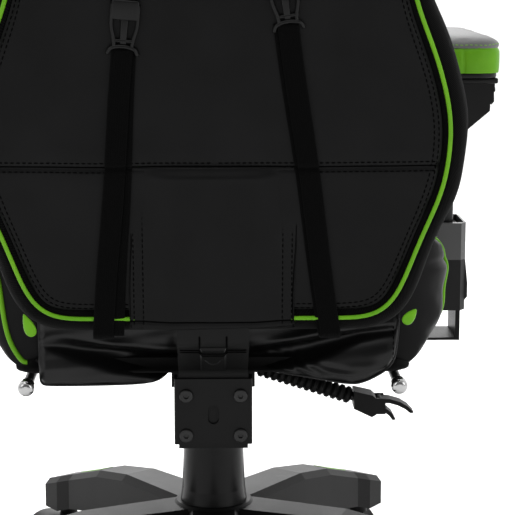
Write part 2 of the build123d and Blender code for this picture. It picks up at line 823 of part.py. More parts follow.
def levers():
    save("lever_tube", lever_rod(lever_tube_radius))
    length = lever_direction()[2]
    start = 8.0
    pitch = (length - start - 3.0) / bellows_rings
    outline = [(lever_tube_radius, start)]
    for ring in range(bellows_rings):
        low = start + ring * pitch
        outline += [
            (bellows_root, low), (bellows_outer, low + 0.3 * pitch), (bellows_outer, low + 0.7 * pitch),
        ]
    outline += [(bellows_root, length - 3.0), (lever_tube_radius, length - 3.0)]
    profile = make_face(Polyline(*outline, close=True))
    bellows = revolve(Plane.XZ * profile, Axis.Z)
    save("lever_bellows", lever_plane() * bellows)

    end_x = lever_end[0]
    end_z = lever_end[1]
    top = end_z + 9.0
    body = front_prism(
        ((end_x, top), (block_outer_x + 4, top - 5), (block_outer_x, top - 9), (block_outer_x, 268.0),
         (block_outer_x + 5, 265.0), (end_x, end_z - 11)),
        lever_y - 14, lever_y + 14,
    )
    for low in (-14.0, 10.0):
        body += block(-191.0, block_outer_x + 2, lever_y + low, lever_y + low + 4.0, 268.5, 286.0)
    for knuckle_z in (upper_knuckle_z, lower_knuckle_z):
        body += lengthwise(1.5, lever_y - 12, lever_y + 12, knuckle_x, knuckle_z)
    body -= lever_rod(lever_tube_radius)
    save("lever_block", body)

    upper = ((knuckle_x, 285.2), (-196.0, 284.5), (-208.0, 281.0), (-217.0, 275.5), (-223.0, 269.0),
             (-219.5, 268.0), (-213.0, 273.2), (-205.0, 277.2), (-196.0, 279.8), (knuckle_x, 280.0))
    lower = ((knuckle_x, 274.5), (-194.0, 272.5), (-199.0, 268.0), (-203.0, 261.0), (-199.5, 260.4),
             (-195.5, 265.5), (-192.0, 268.3), (knuckle_x, 269.4))
    save("lift_paddle", paddle(upper, upper_knuckle_z))
    save("recline_paddle", paddle(lower, lower_knuckle_z))


# ---- Footrest -------------------------------------------------------------


def footrest():
    rod = lengthwise(footrest_rod_radius, crossbar_y, rod_rear, rod_x, rod_z)
    rods = rod + mirror(rod, about=Plane.YZ)
    rods += crosswise(crossbar_radius, -rod_x - 7, rod_x + 7, crossbar_y, rod_z)
    save("footrest_rods", rods)
    cap = lengthwise(cap_radius, rod_rear - 4, rod_rear + 10, rod_x, rod_z)
    cap = fillet(cap.edges().group_by(Axis.Y)[-1], 6.0) - rod
    save("rod_caps", both_sides(cap))
    guides = []
    for y in (-250.0, -110.0):
        guide = block(rod_x - 10, rod_x + 10, y, y + 25, 328.0, board_bottom)
        guide = chamfer(guide.edges().filter_by(Axis.Y).group_by(Axis.Z)[0], 4.0)
        guide -= lengthwise(footrest_rod_radius + running_gap, y - 5, y + 30, rod_x, rod_z)
        guides += [guide, mirror(guide, about=Plane.YZ)]
    save("footrest_guides", Compound(children=guides))

    plate = block(-footrest_half_width + 8, footrest_half_width - 8, -276, -156, 334.0, 338.0)
    for x in (-100.0, 100.0):
        plate += crosswise(11.5, x - 15, x + 15, crossbar_y, rod_z)
        plate += block(x - 15, x + 15, crossbar_y + 6, -270, 334.0, 338.0)
    plate -= crosswise(crossbar_radius + running_gap, -200, 200, crossbar_y, rod_z)
    save("footrest_plate", plate)
    cushion = block(-footrest_half_width, footrest_half_width, -278, -150, 300.0, 333.9)
    cushion = fillet(cushion.edges().filter_by(Axis.Z), 18.0)
    cushion = fillet(cushion.edges().group_by(Axis.Z)[0], 10.0)
    save("footrest_cushion", cushion)


base()
casters()
column()
mechanism()
save("seat_screws", seat_screws())
spine_bolts = recline_parts()
back_parts(spine_bolts)
back_trim()
seat()
arms()
levers()
footrest()
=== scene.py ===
import json
import math
import bpy
import bmesh
import numpy as np
from mathutils import Matrix, Vector

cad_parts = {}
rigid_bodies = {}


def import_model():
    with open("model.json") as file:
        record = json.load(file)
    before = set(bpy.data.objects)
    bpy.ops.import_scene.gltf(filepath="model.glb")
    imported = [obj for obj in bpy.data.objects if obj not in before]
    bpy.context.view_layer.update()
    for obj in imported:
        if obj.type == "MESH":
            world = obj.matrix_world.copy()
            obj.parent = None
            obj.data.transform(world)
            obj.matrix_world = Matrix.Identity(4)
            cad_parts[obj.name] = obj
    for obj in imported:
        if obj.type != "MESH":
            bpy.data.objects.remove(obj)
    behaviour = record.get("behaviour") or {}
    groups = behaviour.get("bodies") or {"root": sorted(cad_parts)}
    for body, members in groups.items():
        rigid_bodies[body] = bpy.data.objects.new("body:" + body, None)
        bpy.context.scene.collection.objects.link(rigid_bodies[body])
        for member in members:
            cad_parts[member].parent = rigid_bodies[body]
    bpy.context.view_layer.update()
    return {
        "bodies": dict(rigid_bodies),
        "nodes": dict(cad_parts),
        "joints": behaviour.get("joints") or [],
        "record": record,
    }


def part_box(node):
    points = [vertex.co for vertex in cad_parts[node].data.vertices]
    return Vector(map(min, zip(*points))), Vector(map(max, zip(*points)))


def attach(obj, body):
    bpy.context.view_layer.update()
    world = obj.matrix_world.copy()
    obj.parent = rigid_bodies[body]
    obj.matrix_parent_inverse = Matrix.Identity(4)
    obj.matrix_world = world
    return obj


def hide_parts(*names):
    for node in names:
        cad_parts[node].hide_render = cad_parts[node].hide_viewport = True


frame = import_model()
cadNodes = frame["nodes"]

cameraValues = {"place": (0, 1.9, 0.775), "tiltDown": 10.0, "panRight": 1.50, "lens": 121.5}
worldValues = {"ahead": 1.90, "behind": 0.22}
lightValues = {
    "top": {"place": (0.3, 0.9, 3.2), "aim": (0, 0.1, 0.5), "size": 2.2, "watts": 34},
    "left": {"place": (2.6, 2.6, 2.0), "aim": (0, 0.2, 0.6), "size": 2.0, "watts": 26},
    "right": {"place": (-2.8, 2.2, 1.5), "aim": (0, 0.2, 0.6), "size": 2.0, "watts": 30},
    "front": {"place": (0.5, -3.0, 2.2), "aim": (0, 0, 0.6), "size": 2.4, "watts": 60},
}


def addCamera():
    camera = bpy.data.objects.new("viewCamera", bpy.data.cameras.new("viewCamera"))
    bpy.context.scene.collection.objects.link(camera)
    camera.location = cameraValues["place"]
    turn = math.radians(180 - cameraValues["panRight"])
    camera.rotation_euler = (math.radians(90 - cameraValues["tiltDown"]), 0, turn)
    camera.data.lens = cameraValues["lens"]
    camera.data.clip_end = 200
    bpy.context.scene.camera = camera


def addStage():
    bm = bmesh.new()
    bmesh.ops.create_grid(bm, x_segments=2, y_segments=2, size=60)
    mesh = bpy.data.meshes.new("floor")
    bm.to_mesh(mesh)
    floor = bpy.data.objects.new("floor", mesh)
    bpy.context.scene.collection.objects.link(floor)
    material = bpy.data.materials.new("floorPaint")
    material.use_nodes = True
    shader = material.node_tree.nodes["Principled BSDF"]
    shader.inputs["Base Color"].default_value = (0.97, 0.97, 0.97, 1)
    shader.inputs["Roughness"].default_value = 0.85
    mesh.materials.append(material)
    world = bpy.data.worlds.new("studio")
    world.use_nodes = True
    tree = world.node_tree
    tree.nodes["Background"].inputs["Color"].default_value = (1, 1, 1, 1)
    direction = tree.nodes.new("ShaderNodeTexCoord").outputs["Generated"]
    parts = tree.nodes.new("ShaderNodeSeparateXYZ")
    tree.links.new(direction, parts.inputs[0])
    span = tree.nodes.new("ShaderNodeMapRange")  # bright ahead of the camera, dim behind it
    span.inputs["From Min"].default_value = -0.7
    span.inputs["From Max"].default_value = 0.95
    span.inputs["To Min"].default_value = worldValues["ahead"]
    span.inputs["To Max"].default_value = worldValues["behind"]
    tree.links.new(parts.outputs["Y"], span.inputs["Value"])
    tree.links.new(span.outputs["Result"], tree.nodes["Background"].inputs["Strength"])
    bpy.context.scene.world = world
    bpy.context.scene.view_settings.view_transform = "Standard"
    for name, values in lightValues.items():
        light = bpy.data.lights.new(name, "AREA")
        light.size = values["size"]
        light.energy = values["watts"]
        lamp = bpy.data.objects.new(name + "Light", light)
        lamp.location = values["place"]
        away = Vector(values["place"]) - Vector(values["aim"])
        lamp.rotation_euler = away.to_track_quat("Z", "Y").to_euler()
        bpy.context.scene.collection.objects.link(lamp)


# materials

def newGroup(name, inputs, outputs):
    group = bpy.data.node_groups.new(name, "ShaderNodeTree")
    for socket, value in inputs.items():
        made = group.interface.new_socket(name=socket, in_out="INPUT", socket_type="NodeSocketFloat")
        made.default_value = value
    for socket in outputs:
        group.interface.new_socket(name=socket, in_out="OUTPUT", socket_type="NodeSocketFloat")
    return group, group.nodes.new("NodeGroupInput"), group.nodes.new("NodeGroupOutput")


def math2(tree, kind, a, b=0.0, c=None):
    node = tree.nodes.new("ShaderNodeMath")
    node.operation = kind
    for index, value in enumerate((a, b, c)):
        if value is None:
            continue
        if isinstance(value, (int, float)):
            node.inputs[index].default_value = value
        else:
            tree.links.new(value, node.inputs[index])
    return node.outputs[0]


def objectPlace(tree):
    return tree.nodes.new("ShaderNodeTexCoord").outputs["Object"]


def noise(tree, place, scale, detail=4.0, rough=0.55):
    node = tree.nodes.new("ShaderNodeTexNoise")
    tree.links.new(place, node.inputs["Vector"])
    if isinstance(scale, (int, float)):
        node.inputs["Scale"].default_value = scale
    else:
        tree.links.new(scale, node.inputs["Scale"])
    node.inputs["Detail"].default_value = detail
    node.inputs["Roughness"].default_value = rough
    return node.outputs["Fac"]


def makeGrainGroup():
    group, given, out = newGroup("puGrain", {"Scale": 900.0, "Crease": 0.35}, ["Height", "Mottle"])
    place = objectPlace(group)
    cells = group.nodes.new("ShaderNodeTexVoronoi")
    cells.feature = "DISTANCE_TO_EDGE"
    group.links.new(place, cells.inputs["Vector"])
    group.links.new(given.outputs["Scale"], cells.inputs["Scale"])
    pores = math2(group, "MINIMUM", cells.outputs["Distance"], 0.3)
    softScale = math2(group, "MULTIPLY", given.outputs["Scale"], 0.03)
    folds = noise(group, place, softScale, 3.0, 0.6)
    creased = math2(group, "MULTIPLY", folds, given.outputs["Crease"])
    height = math2(group, "ADD", pores, creased)
    group.links.new(height, out.inputs["Height"])
    group.links.new(noise(group, place, 14.0, 5.0, 0.6), out.inputs["Mottle"])
    return group


def makeTwillGroup():
    group, given, out = newGroup("twillWeave", {"Pitch": 0.0014}, ["Height", "Thread"])
    uv = group.nodes.new("ShaderNodeUVMap")
    parts = group.nodes.new("ShaderNodeSeparateXYZ")
    group.links.new(uv.outputs["UV"], parts.inputs[0])
    u = math2(group, "DIVIDE", parts.outputs["X"], given.outputs["Pitch"])
    v = math2(group, "DIVIDE", parts.outputs["Y"], given.outputs["Pitch"])
    diagonal = math2(group, "PINGPONG", math2(group, "ADD", u, v), 0.5)
    cross = math2(group, "PINGPONG", math2(group, "SUBTRACT", math2(group, "MULTIPLY", u, 2.0), v), 0.5)
    height = math2(group, "MULTIPLY", math2(group, "ADD", diagonal, 0.25), math2(group, "ADD", cross, 0.6))
    group.links.new(height, out.inputs["Height"])
    group.links.new(diagonal, out.inputs["Thread"])
    return group


def makeRibGroup():
    group, given, out = newGroup("webbingWeave", {"Pitch": 0.0016}, ["Height", "Thread"])
    uv = group.nodes.new("ShaderNodeUVMap")
    parts = group.nodes.new("ShaderNodeSeparateXYZ")
    group.links.new(uv.outputs["UV"], parts.inputs[0])
    u = math2(group, "DIVIDE", parts.outputs["X"], given.outputs["Pitch"])
    v = math2(group, "DIVIDE", parts.outputs["Y"], given.outputs["Pitch"])
    ribs = math2(group, "PINGPONG", u, 0.5)
    offset = math2(group, "MULTIPLY", math2(group, "FLOOR", math2(group, "MULTIPLY", u, 1.0)), 0.5)
    threads = math2(group, "PINGPONG", math2(group, "ADD", v, offset), 0.5)
    height = math2(group, "ADD", ribs, math2(group, "MULTIPLY", threads, 0.8))
    group.links.new(height, out.inputs["Height"])
    group.links.new(threads, out.inputs["Thread"])
    return group


def makeScuffGroup():
    group, given, out = newGroup("mouldScuff", {"Grain": 1400.0, "Cloud": 9.0}, ["Height", "Cloud", "Scratch"])
    place = objectPlace(group)
    group.links.new(noise(group, place, given.outputs["Grain"], 2.0, 0.6), out.inputs["Height"])
    group.links.new(noise(group, place, given.outputs["Cloud"], 5.0, 0.6), out.inputs["Cloud"])
    stretched = group.nodes.new("ShaderNodeMapping")
    stretched.inputs["Scale"].default_value = (30, 260, 60)
    stretched.inputs["Rotation"].default_value = (0.3, 0.5, 0.8)
    group.links.new(place, stretched.inputs["Vector"])
    streaks = noise(group, stretched.outputs["Vector"], 1.0, 3.0, 0.5)
    thin = math2(group, "GREATER_THAN", streaks, 0.70)
    group.links.new(thin, out.inputs["Scratch"])
    return group


groups = {"grain": makeGrainGroup(), "twill": makeTwillGroup(), "rib": makeRibGroup(), "scuff": makeScuffGroup()}


def useGroup(tree, name, **values):
    node = tree.nodes.new("ShaderNodeGroup")
    node.node_tree = groups[name]
    for socket, value in values.items():
        node.inputs[socket].default_value = value
    return node


def newMaterial(name, roughness, metallic=0.0, specular=0.3):
    material = bpy.data.materials.new(name)
    material.use_nodes = True
    tree = material.node_tree
    shader = tree.nodes["Principled BSDF"]
    shader.inputs["Roughness"].default_value = roughness
    shader.inputs["Metallic"].default_value = metallic
    shader.inputs["Specular IOR Level"].default_value = specular
    return material, tree, shader


def blendColour(tree, shader, mask, dark, light):
    ramp = tree.nodes.new("ShaderNodeValToRGB")
    ramp.color_ramp.elements[0].position = 0.3
    ramp.color_ramp.elements[1].position = 0.75
    ramp.color_ramp.elements[0].color = (*dark, 1)
    ramp.color_ramp.elements[1].color = (*light, 1)
    tree.links.new(mask, ramp.inputs["Fac"])
    tree.links.new(ramp.outputs["Color"], shader.inputs["Base Color"])


def spreadRoughness(tree, shader, mask, low, high):
    span = tree.nodes.new("ShaderNodeMapRange")
    span.inputs["To Min"].default_value = low
    span.inputs["To Max"].default_value = high
    tree.links.new(mask, span.inputs["Value"])
    tree.links.new(span.outputs["Result"], shader.inputs["Roughness"])


def bumpFrom(tree, shader, height, distance, strength=1.0):
    bump = tree.nodes.new("ShaderNodeBump")
    bump.inputs["Distance"].default_value = distance
    bump.inputs["Strength"].default_value = strength
    tree.links.new(height, bump.inputs["Height"])
    tree.links.new(bump.outputs["Normal"], shader.inputs["Normal"])


def puMaterial(name, dark, light, low, high, scale=900.0, depth=0.00012, specular=0.10):
    material, tree, shader = newMaterial(name, low, 0.0, specular)
    grain = useGroup(tree, "grain", Scale=scale)
    blendColour(tree, shader, grain.outputs["Mottle"], dark, light)
    spreadRoughness(tree, shader, grain.outputs["Mottle"], low, high)
    bumpFrom(tree, shader, grain.outputs["Height"], depth)
    return material


def weaveMaterial(name, group, pitch, dark, light, depth):
    material, tree, shader = newMaterial(name, 0.9, 0.0, 0.05)
    weave = useGroup(tree, group, Pitch=pitch)
    blendColour(tree, shader, weave.outputs["Thread"], dark, light)
    bumpFrom(tree, shader, weave.outputs["Height"], depth)
    shader.inputs["Sheen Weight"].default_value = 0.02
    shader.inputs["Sheen Roughness"].default_value = 0.4
    return material


def mouldedMaterial(name, dark, light, low, high, grain=1400.0, depth=0.00006, metallic=0.0, specular=0.22):
    material, tree, shader = newMaterial(name, low, metallic, specular)
    scuff = useGroup(tree, "scuff", Grain=grain)
    blendColour(tree, shader, scuff.outputs["Cloud"], dark, light)
    worn = math2(tree, "SUBTRACT", scuff.outputs["Cloud"], math2(tree, "MULTIPLY", scuff.outputs["Scratch"], 0.25))
    spreadRoughness(tree, shader, worn, low, high)
    bumpFrom(tree, shader, scuff.outputs["Height"], depth)
    return material


def grey(value, cool=1.0):
    return (value, value, value * cool)


materials = {
    "panelPu": puMaterial("panelPu", grey(0.0026), grey(0.0046, 1.03), 0.36, 0.50, 1100.0, 0.00008, 0.07),
    "shinyPu": puMaterial("shinyPu", grey(0.0030), grey(0.0050, 1.03), 0.26, 0.40, 1000.0, 0.00009, 0.20),
    "greenPu": puMaterial("greenPu", (0.075, 0.235, 0.006), (0.120, 0.310, 0.010), 0.36, 0.5, 900.0, 0.00010, 0.12),
    "armPu": puMaterial("armPu", grey(0.085), grey(0.125), 0.45, 0.6, 620.0, 0.00022, 0.45),
    "borderTwill": weaveMaterial("borderTwill", "twill", 0.0028, grey(0.0008), grey(0.0110), 0.0005),
    "webbing": weaveMaterial("webbing", "rib", 0.0022, grey(0.0004), grey(0.0024), 0.0003),
    "greenThread": mouldedMaterial("greenThread", (0.12, 0.33, 0.02), (0.20, 0.46, 0.04), 0.55, 0.75, 5000.0, 0.00005),
    "dustCloth": mouldedMaterial("dustCloth", grey(0.004), grey(0.007), 0.85, 0.95, 2600.0, 0.0001, 0.0, 0.1),
    # near-black: the colour of the stitching thread, and also painted shade for the seam, flap-edge and spine-bend
    # cords
    "threadAndPaintedShade": mouldedMaterial("threadAndPaintedShade", grey(0.0003), grey(0.0008), 0.7, 0.9, 5000.0, 0.00005, 0.0, 0.02),
    "nylon": mouldedMaterial("nylon", grey(0.003), grey(0.006), 0.34, 0.50, 1800.0, 0.00005, 0.0, 0.09),
    "armPlastic": mouldedMaterial("armPlastic", grey(0.004), grey(0.008), 0.34, 0.48, 1500.0, 0.00008, 0.0, 0.14),
    # painted light: the upper shrouds get a lighter grey than the black lower shrouds, standing in for light falling
    # on their tops
    "armPlasticPaintedLight": mouldedMaterial("armPlasticPaintedLight", grey(0.018), grey(0.028), 0.24, 0.36, 1500.0, 0.00008, 0.0, 0.5),
    "buckle": mouldedMaterial("buckle", grey(0.002), grey(0.004), 0.22, 0.36, 2600.0, 0.00003, 0.0, 0.14),
    "powderCoat": mouldedMaterial("powderCoat", grey(0.0028), grey(0.0050), 0.32, 0.46, 1100.0, 0.00012, 0.0, 0.10),
    "tubeBlack": mouldedMaterial("tubeBlack", grey(0.006), grey(0.010), 0.25, 0.38, 2000.0, 0.00003),
    "coverPlastic": mouldedMaterial("coverPlastic", grey(0.002), grey(0.004), 0.20, 0.30, 1600.0, 0.00006, 0.0, 0.13),
    "greenInlay": mouldedMaterial("greenInlay", (0.10, 0.29, 0.01), (0.16, 0.40, 0.02), 0.28, 0.4, 1800.0, 0.00004),
    "boltBlack": mouldedMaterial("boltBlack", grey(0.016), grey(0.030), 0.26, 0.40, 2500.0, 0.00003, 0.85),
    "chrome": mouldedMaterial("chrome", grey(0.30), grey(0.44), 0.10, 0.22, 3000.0, 0.00001, 1.0),
    "zinc": mouldedMaterial("zinc", grey(0.3), grey(0.42), 0.25, 0.4, 2500.0, 0.00002, 1.0),
    "naturalNylon": mouldedMaterial("naturalNylon", grey(0.45), grey(0.55), 0.4, 0.5),
    "rubberGrip": mouldedMaterial("rubberGrip", grey(0.003), grey(0.006), 0.42, 0.56, 1500.0, 0.0001, 0.0, 0.10),
    "wheelPlastic": mouldedMaterial("wheelPlastic", grey(0.010), grey(0.016), 0.4, 0.55, 1300.0, 0.0001),
}


# shapes shared by the pieces

def addPiece(name, bm, body, material, smooth=True):
    mesh = bpy.data.meshes.new(name)
    bm.to_mesh(mesh)
    bm.free()
    for polygon in mesh.polygons:
        polygon.use_smooth = smooth
    piece = bpy.data.objects.new(name, mesh)
    bpy.context.scene.collection.objects.link(piece)
    mesh.materials.append(materials[material])
    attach(piece, body)
    return piece


def mappedGrid(columns, rows, place, wrapColumns=False, wrapRows=False, uvSize=(1.0, 1.0)):
    bm = bmesh.new()
    bmesh.ops.create_grid(bm, x_segments=columns, y_segments=rows, size=1)
    uvLayer = bm.loops.layers.uv.new("UVMap")
    bm.verts.index_update()
    flat = np.array([vert.co for vert in bm.verts])
    s, t = (flat[:, 0] + 1) / 2, (flat[:, 1] + 1) / 2
    for face in bm.faces:
        for loop in face.loops:
            index = loop.vert.index
            loop[uvLayer].uv = (s[index] * uvSize[0], t[index] * uvSize[1])
    placed = place(s, t)
    for vert, co in zip(bm.verts, placed):
        vert.co = co
    if wrapColumns or wrapRows:
        bmesh.ops.remove_doubles(bm, verts=bm.verts, dist=1e-5)
    bmesh.ops.recalc_face_normals(bm, faces=bm.faces)
    return bm


def pointOut(bm, middle=None, towards=None):  # an open sheet's faces away from a middle, or towards a direction
    total = 0.0
    for face in bm.faces:
        way = Vector(towards) if towards is not None else face.calc_center_median() - Vector(middle)
        total += face.normal.dot(way) * face.calc_area()
    if total < 0:
        bmesh.ops.reverse_faces(bm, faces=bm.faces)
    return bm


def smoothStep(value, low, high):
    part = np.clip((value - low) / (high - low), 0, 1)
    return part * part * (3 - 2 * part)


def bell(value, centre, width):
    return np.exp(-((value - centre) / width) ** 2)


def tubeAlong(points, radius, closed=False, sides=4):
    curve = bpy.data.curves.new("path", "CURVE")
    curve.dimensions = "3D"
    curve.bevel_depth = radius
    curve.bevel_resolution = sides
    curve.use_fill_caps = True
    spline = curve.splines.new("POLY")
    spline.points.add(len(points) - 1)
    for point, co in zip(spline.points, points):
        point.co = (*co, 1)
    spline.use_cyclic_u = closed
    carrier = bpy.data.objects.new("path", curve)
    bm = bmesh.new()
    mesh = bpy.data.meshes.new_from_object(carrier)
    bm.from_mesh(mesh)
    bpy.data.objects.remove(carrier)
    bmesh.ops.remove_doubles(bm, verts=bm.verts, dist=1e-6)
    bmesh.ops.recalc_face_normals(bm, faces=bm.faces)
    return bm


def smoothPath(points, count, closed=False):
    curve = bpy.data.curves.new("path", "CURVE")
    curve.dimensions = "3D"
    curve.resolution_u = 12
    spline = curve.splines.new("NURBS")
    spline.points.add(len(points) - 1)
    for point, co in zip(spline.points, points):
        point.co = (*co, 1)
    spline.order_u = 3
    spline.use_endpoint_u = not closed
    spline.use_cyclic_u = closed
    carrier = bpy.data.objects.new("path", curve)
    mesh = bpy.data.meshes.new_from_object(carrier)
    found = np.array([vert.co for vert in mesh.vertices])
    bpy.data.objects.remove(carrier)
    return resample(found, count, closed)


def resample(points, count, closed=False):
    points = np.asarray(points, float)
    if closed:
        points = np.vstack([points, points[:1]])
    steps = np.linalg.norm(np.diff(points, axis=0), axis=1)
    run = np.concatenate([[0], np.cumsum(steps)])
    wanted = np.linspace(0, run[-1], count + 1)[:-1] if closed else np.linspace(0, run[-1], count)
    return np.stack([np.interp(wanted, run, points[:, axis]) for axis in range(points.shape[1])], axis=1)


def joinInto(target, source, turn=None):
    if turn is not None:
        bmesh.ops.transform(source, matrix=turn, verts=source.verts)
    mesh = bpy.data.meshes.new("part")
    source.to_mesh(mesh)
    source.free()
    target.from_mesh(mesh)
    bpy.data.meshes.remove(mesh)
    return target


def roundedBlock(size, edge, segments=3):
    bm = bmesh.new()
    bmesh.ops.create_cube(bm, size=1)
    bmesh.ops.scale(bm, vec=size, verts=bm.verts)
    bmesh.ops.bevel(bm, geom=bm.edges[:], offset=edge, offset_type="OFFSET", affect="EDGES",
                    segments=segments, profile=0.5, material=-1)
    return bm


def stitchShape(values):
    bm = bmesh.new()
    bmesh.ops.create_uvsphere(bm, u_segments=6, v_segments=4, radius=1)
    bmesh.ops.rotate(bm, matrix=Matrix.Rotation(math.pi / 2, 3, "Y"), verts=bm.verts)
    bmesh.ops.scale(bm, vec=(values["long"] / 2, values["wide"] / 2, values["high"] / 2), verts=bm.verts)
    mesh = bpy.data.meshes.new("stitch")
    bm.to_mesh(mesh)
    bm.free()
    return mesh


def addStitches(bm, path, normals, values):
    path = np.asarray(path, float)
    run = np.concatenate([[0], np.cumsum(np.linalg.norm(np.diff(path, axis=0), axis=1))])
    shape = stitchShape(values)
    for index in range(int(run[-1] / values["pitch"])):
        at = (index + 0.5) * values["pitch"]
        ends = [np.array([np.interp(at + side * values["long"] / 2, run, path[:, axis]) for axis in range(3)])
                for side in (-1, 1)]
        along = Vector(ends[1] - ends[0])
        if along.length < 1e-5:
            continue
        up = Vector([np.interp(at, run, normals[:, axis]) for axis in range(3)]).normalized()
        along.normalize()
        across = up.cross(along).normalized()
        up = along.cross(across)
        turn = Matrix((along, across, up)).transposed().to_4x4()
        turn.translation = Vector((ends[0] + ends[1]) / 2)
        one = shape.copy()
        one.transform(turn)
        bm.from_mesh(one)
        bpy.data.meshes.remove(one)
    bpy.data.meshes.remove(shape)
    return bm


stitchValues = {"pitch": 0.0056, "long": 0.0041, "wide": 0.0013, "high": 0.0010}

# the back: its own axes are x across, up the back, and forward from its rear face

backValues = {
    "leanDegrees": 8.0,
    "height": 0.830,
    "depth": 0.070,
    "outlineSteps": 440,
    "pipingInset": 0.0188,
    "pipingRadius": 0.0021,
    "bandInset": 0.0262,
    "seamUp": 0.171,
    "rearCrown": 0.0032,
    "bolsterRise": 0.044,
}
lean = math.radians(backValues["leanDegrees"])
foamLow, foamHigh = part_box("back_foam")
backOrigin = np.array([0, foamHigh[1] - backValues["height"] * math.sin(lean), foamLow[2]])
backUp = np.array([0, math.sin(lean), math.cos(lean)])
backForward = np.array([0, -math.cos(lean), math.sin(lean)])


def onBack(x, up, forward):
    x, up, forward = np.broadcast_arrays(*(np.asarray(value, float) for value in (x, up, forward)))
    return backOrigin + np.stack([x, 0 * x, 0 * x], -1) + up[..., None] * backUp + forward[..., None] * backForward


def readOutline():
    place = np.array([vert.co for vert in cadNodes["back_foam"].data.vertices]) - backOrigin
    up, forward, wide = place @ backUp, place @ backForward, np.abs(place[:, 0])
    rear = (forward < 0.0005) & ((wide > 0.13) | (up > 0.78))
    found = {}
    for high, half in zip(np.round(up[rear], 4), wide[rear]):
        found[high] = max(found.get(high, 0), half)
    heights = np.array(sorted(found))
    return heights, np.array([found[high] for high in heights])


outlineUp, outlineHalf = readOutline()


def shiftedLoop(inset, count):
    right = np.stack([outlineHalf, outlineUp], 1)
    left = np.stack([-outlineHalf[::-1], outlineUp[::-1]], 1)
    loop = resample(np.vstack([[[0, outlineUp[0]]], right, left]), 1600, True)
    ahead = np.roll(loop, -6, 0) - np.roll(loop, 6, 0)
    inward = np.stack([-ahead[:, 1], ahead[:, 0]], 1)
    inward /= np.linalg.norm(inward, axis=1)[:, None]
    loop = loop + inward * inset
    for _ in range(int(40 + inset * 26000)):
        loop = 0.5 * loop + 0.25 * (np.roll(loop, 1, 0) + np.roll(loop, -1, 0))
    return resample(loop, count, True)


def loopHalfWidth(inset):
    loop = shiftedLoop(inset, 800)
    right = loop[loop[:, 0] >= 0]
    right = right[np.argsort(right[:, 1])]
    return right[:, 1], right[:, 0]


outlineLoop = shiftedLoop(0.0, 500)


def edgeDistance(x, up):
    result = np.empty(len(x))
    points = np.stack([x, up], 1)
    for start in range(0, len(points), 4000):
        part = points[start:start + 4000]
        gaps = ((part[:, None, :] - outlineLoop[None]) ** 2).sum(2)
        result[start:start + 4000] = np.sqrt(gaps.min(1))
    return result


def rearSurface(x, up):
    gap = edgeDistance(x, up)
    crown = smoothStep(gap, 0.027, 0.12) * backValues["rearCrown"]
    lip = 0.0024 * (1 - smoothStep(gap, 0.0262, 0.0312))
    seam = bell(up, backValues["seamUp"], 0.0017) * 0.0038
    overlap = smoothStep(up, backValues["seamUp"] - 0.0005, backValues["seamUp"] + 0.0012) * 0.0009
    overlap = overlap * (1 - smoothStep(up, backValues["seamUp"] + 0.02, backValues["seamUp"] + 0.09))
    puff = 0.0008 * (bell(up, backValues["seamUp"] - 0.014, 0.008) + bell(up, backValues["seamUp"] + 0.014, 0.008))
    waves = 0.0007 * np.sin(x * 31 + np.sin(up * 13) * 1.7) * np.sin(up * 23 + x * 9)
    waves += 0.0005 * np.sin(x * 64 + up * 37 + 1.3)
    return 0.0004 + lip - crown + seam - overlap - puff * 0.6 - waves * smoothStep(gap, 0.04, 0.09)


def outlineStrip(name, steps, rows, body, material):
    insets = np.array([step[0] for step in steps])
    forwards = np.array([step[1] for step in steps])
    reach = np.concatenate([[0], np.cumsum(np.hypot(np.diff(insets), np.diff(forwards)))])
    count = backValues["outlineSteps"]

    def place(s, t):
        at = t * reach[-1]
        inset = np.interp(at, reach, insets)
        forward = np.interp(at, reach, forwards)
        co = np.empty((len(s), 3))
        for value in np.unique(np.round(inset, 6)):
            chosen = np.abs(inset - value) < 2e-6
            loop = shiftedLoop(value, count)
            closed = np.vstack([loop, loop[:1]])
            spot = s[chosen] * count
            flat = np.stack([np.interp(spot, np.arange(count + 1), closed[:, axis]) for axis in (0, 1)], 1)
            co[chosen] = onBack(flat[:, 0], flat[:, 1], forward[chosen])
        return co

    length = np.linalg.norm(np.diff(np.vstack([outlineLoop, outlineLoop[:1]]), axis=0), axis=1).sum()
    bm = mappedGrid(count, rows, place, wrapColumns=True, uvSize=(length, reach[-1]))
    return addPiece(name, pointOut(bm, onBack(0, 0.415, 0.035)), body, material)


def backSheet(columns, rows, inset, depth):
    loopUp, loopHalf = loopHalfWidth(inset)

    def place(s, t):
        across = 0.35 * (2 * s - 1) + 0.65 * np.sin(math.pi / 2 * (2 * s - 1))
        rise = 0.5 * t + 0.5 * (0.5 - 0.5 * np.cos(math.pi * t))
        up = loopUp[0] + rise * (loopUp[-1] - loopUp[0])
        x = across * np.interp(up, loopUp, loopHalf)
        return onBack(x, up, depth(x, up))

    return mappedGrid(columns, rows, place, uvSize=(0.5, 0.83))


slotValues = {"centreX": 0.090, "centreUp": 0.656, "halfWide": 0.034, "halfHigh": 0.016, "rim": 0.0075}


def slotOutline(grow, count=48):
    radius = slotValues["halfHigh"] - 0.003 + grow
    wide = slotValues["halfWide"] + grow - radius
    high = slotValues["halfHigh"] + grow - radius
    turns = np.linspace(0, 2 * math.pi, count, endpoint=False)
    x = radius * np.cos(turns) + wide * np.sign(np.cos(turns) + 1e-9)
    up = radius * np.sin(turns) + high * np.sign(np.sin(turns) + 1e-9)
    return resample(np.stack([x, up], 1), count, True)


def cutSlots(bm):
    doomed = []
    for vert in bm.verts:
        place = np.array(vert.co) - backOrigin
        x, up = abs(place[0]) - slotValues["centreX"], place @ backUp - slotValues["centreUp"]
        if abs(x) < slotValues["halfWide"] + 0.001 and abs(up) < slotValues["halfHigh"] + 0.001:
            doomed.append(vert)
    bmesh.ops.delete(bm, geom=doomed, context="VERTS")
    return bm


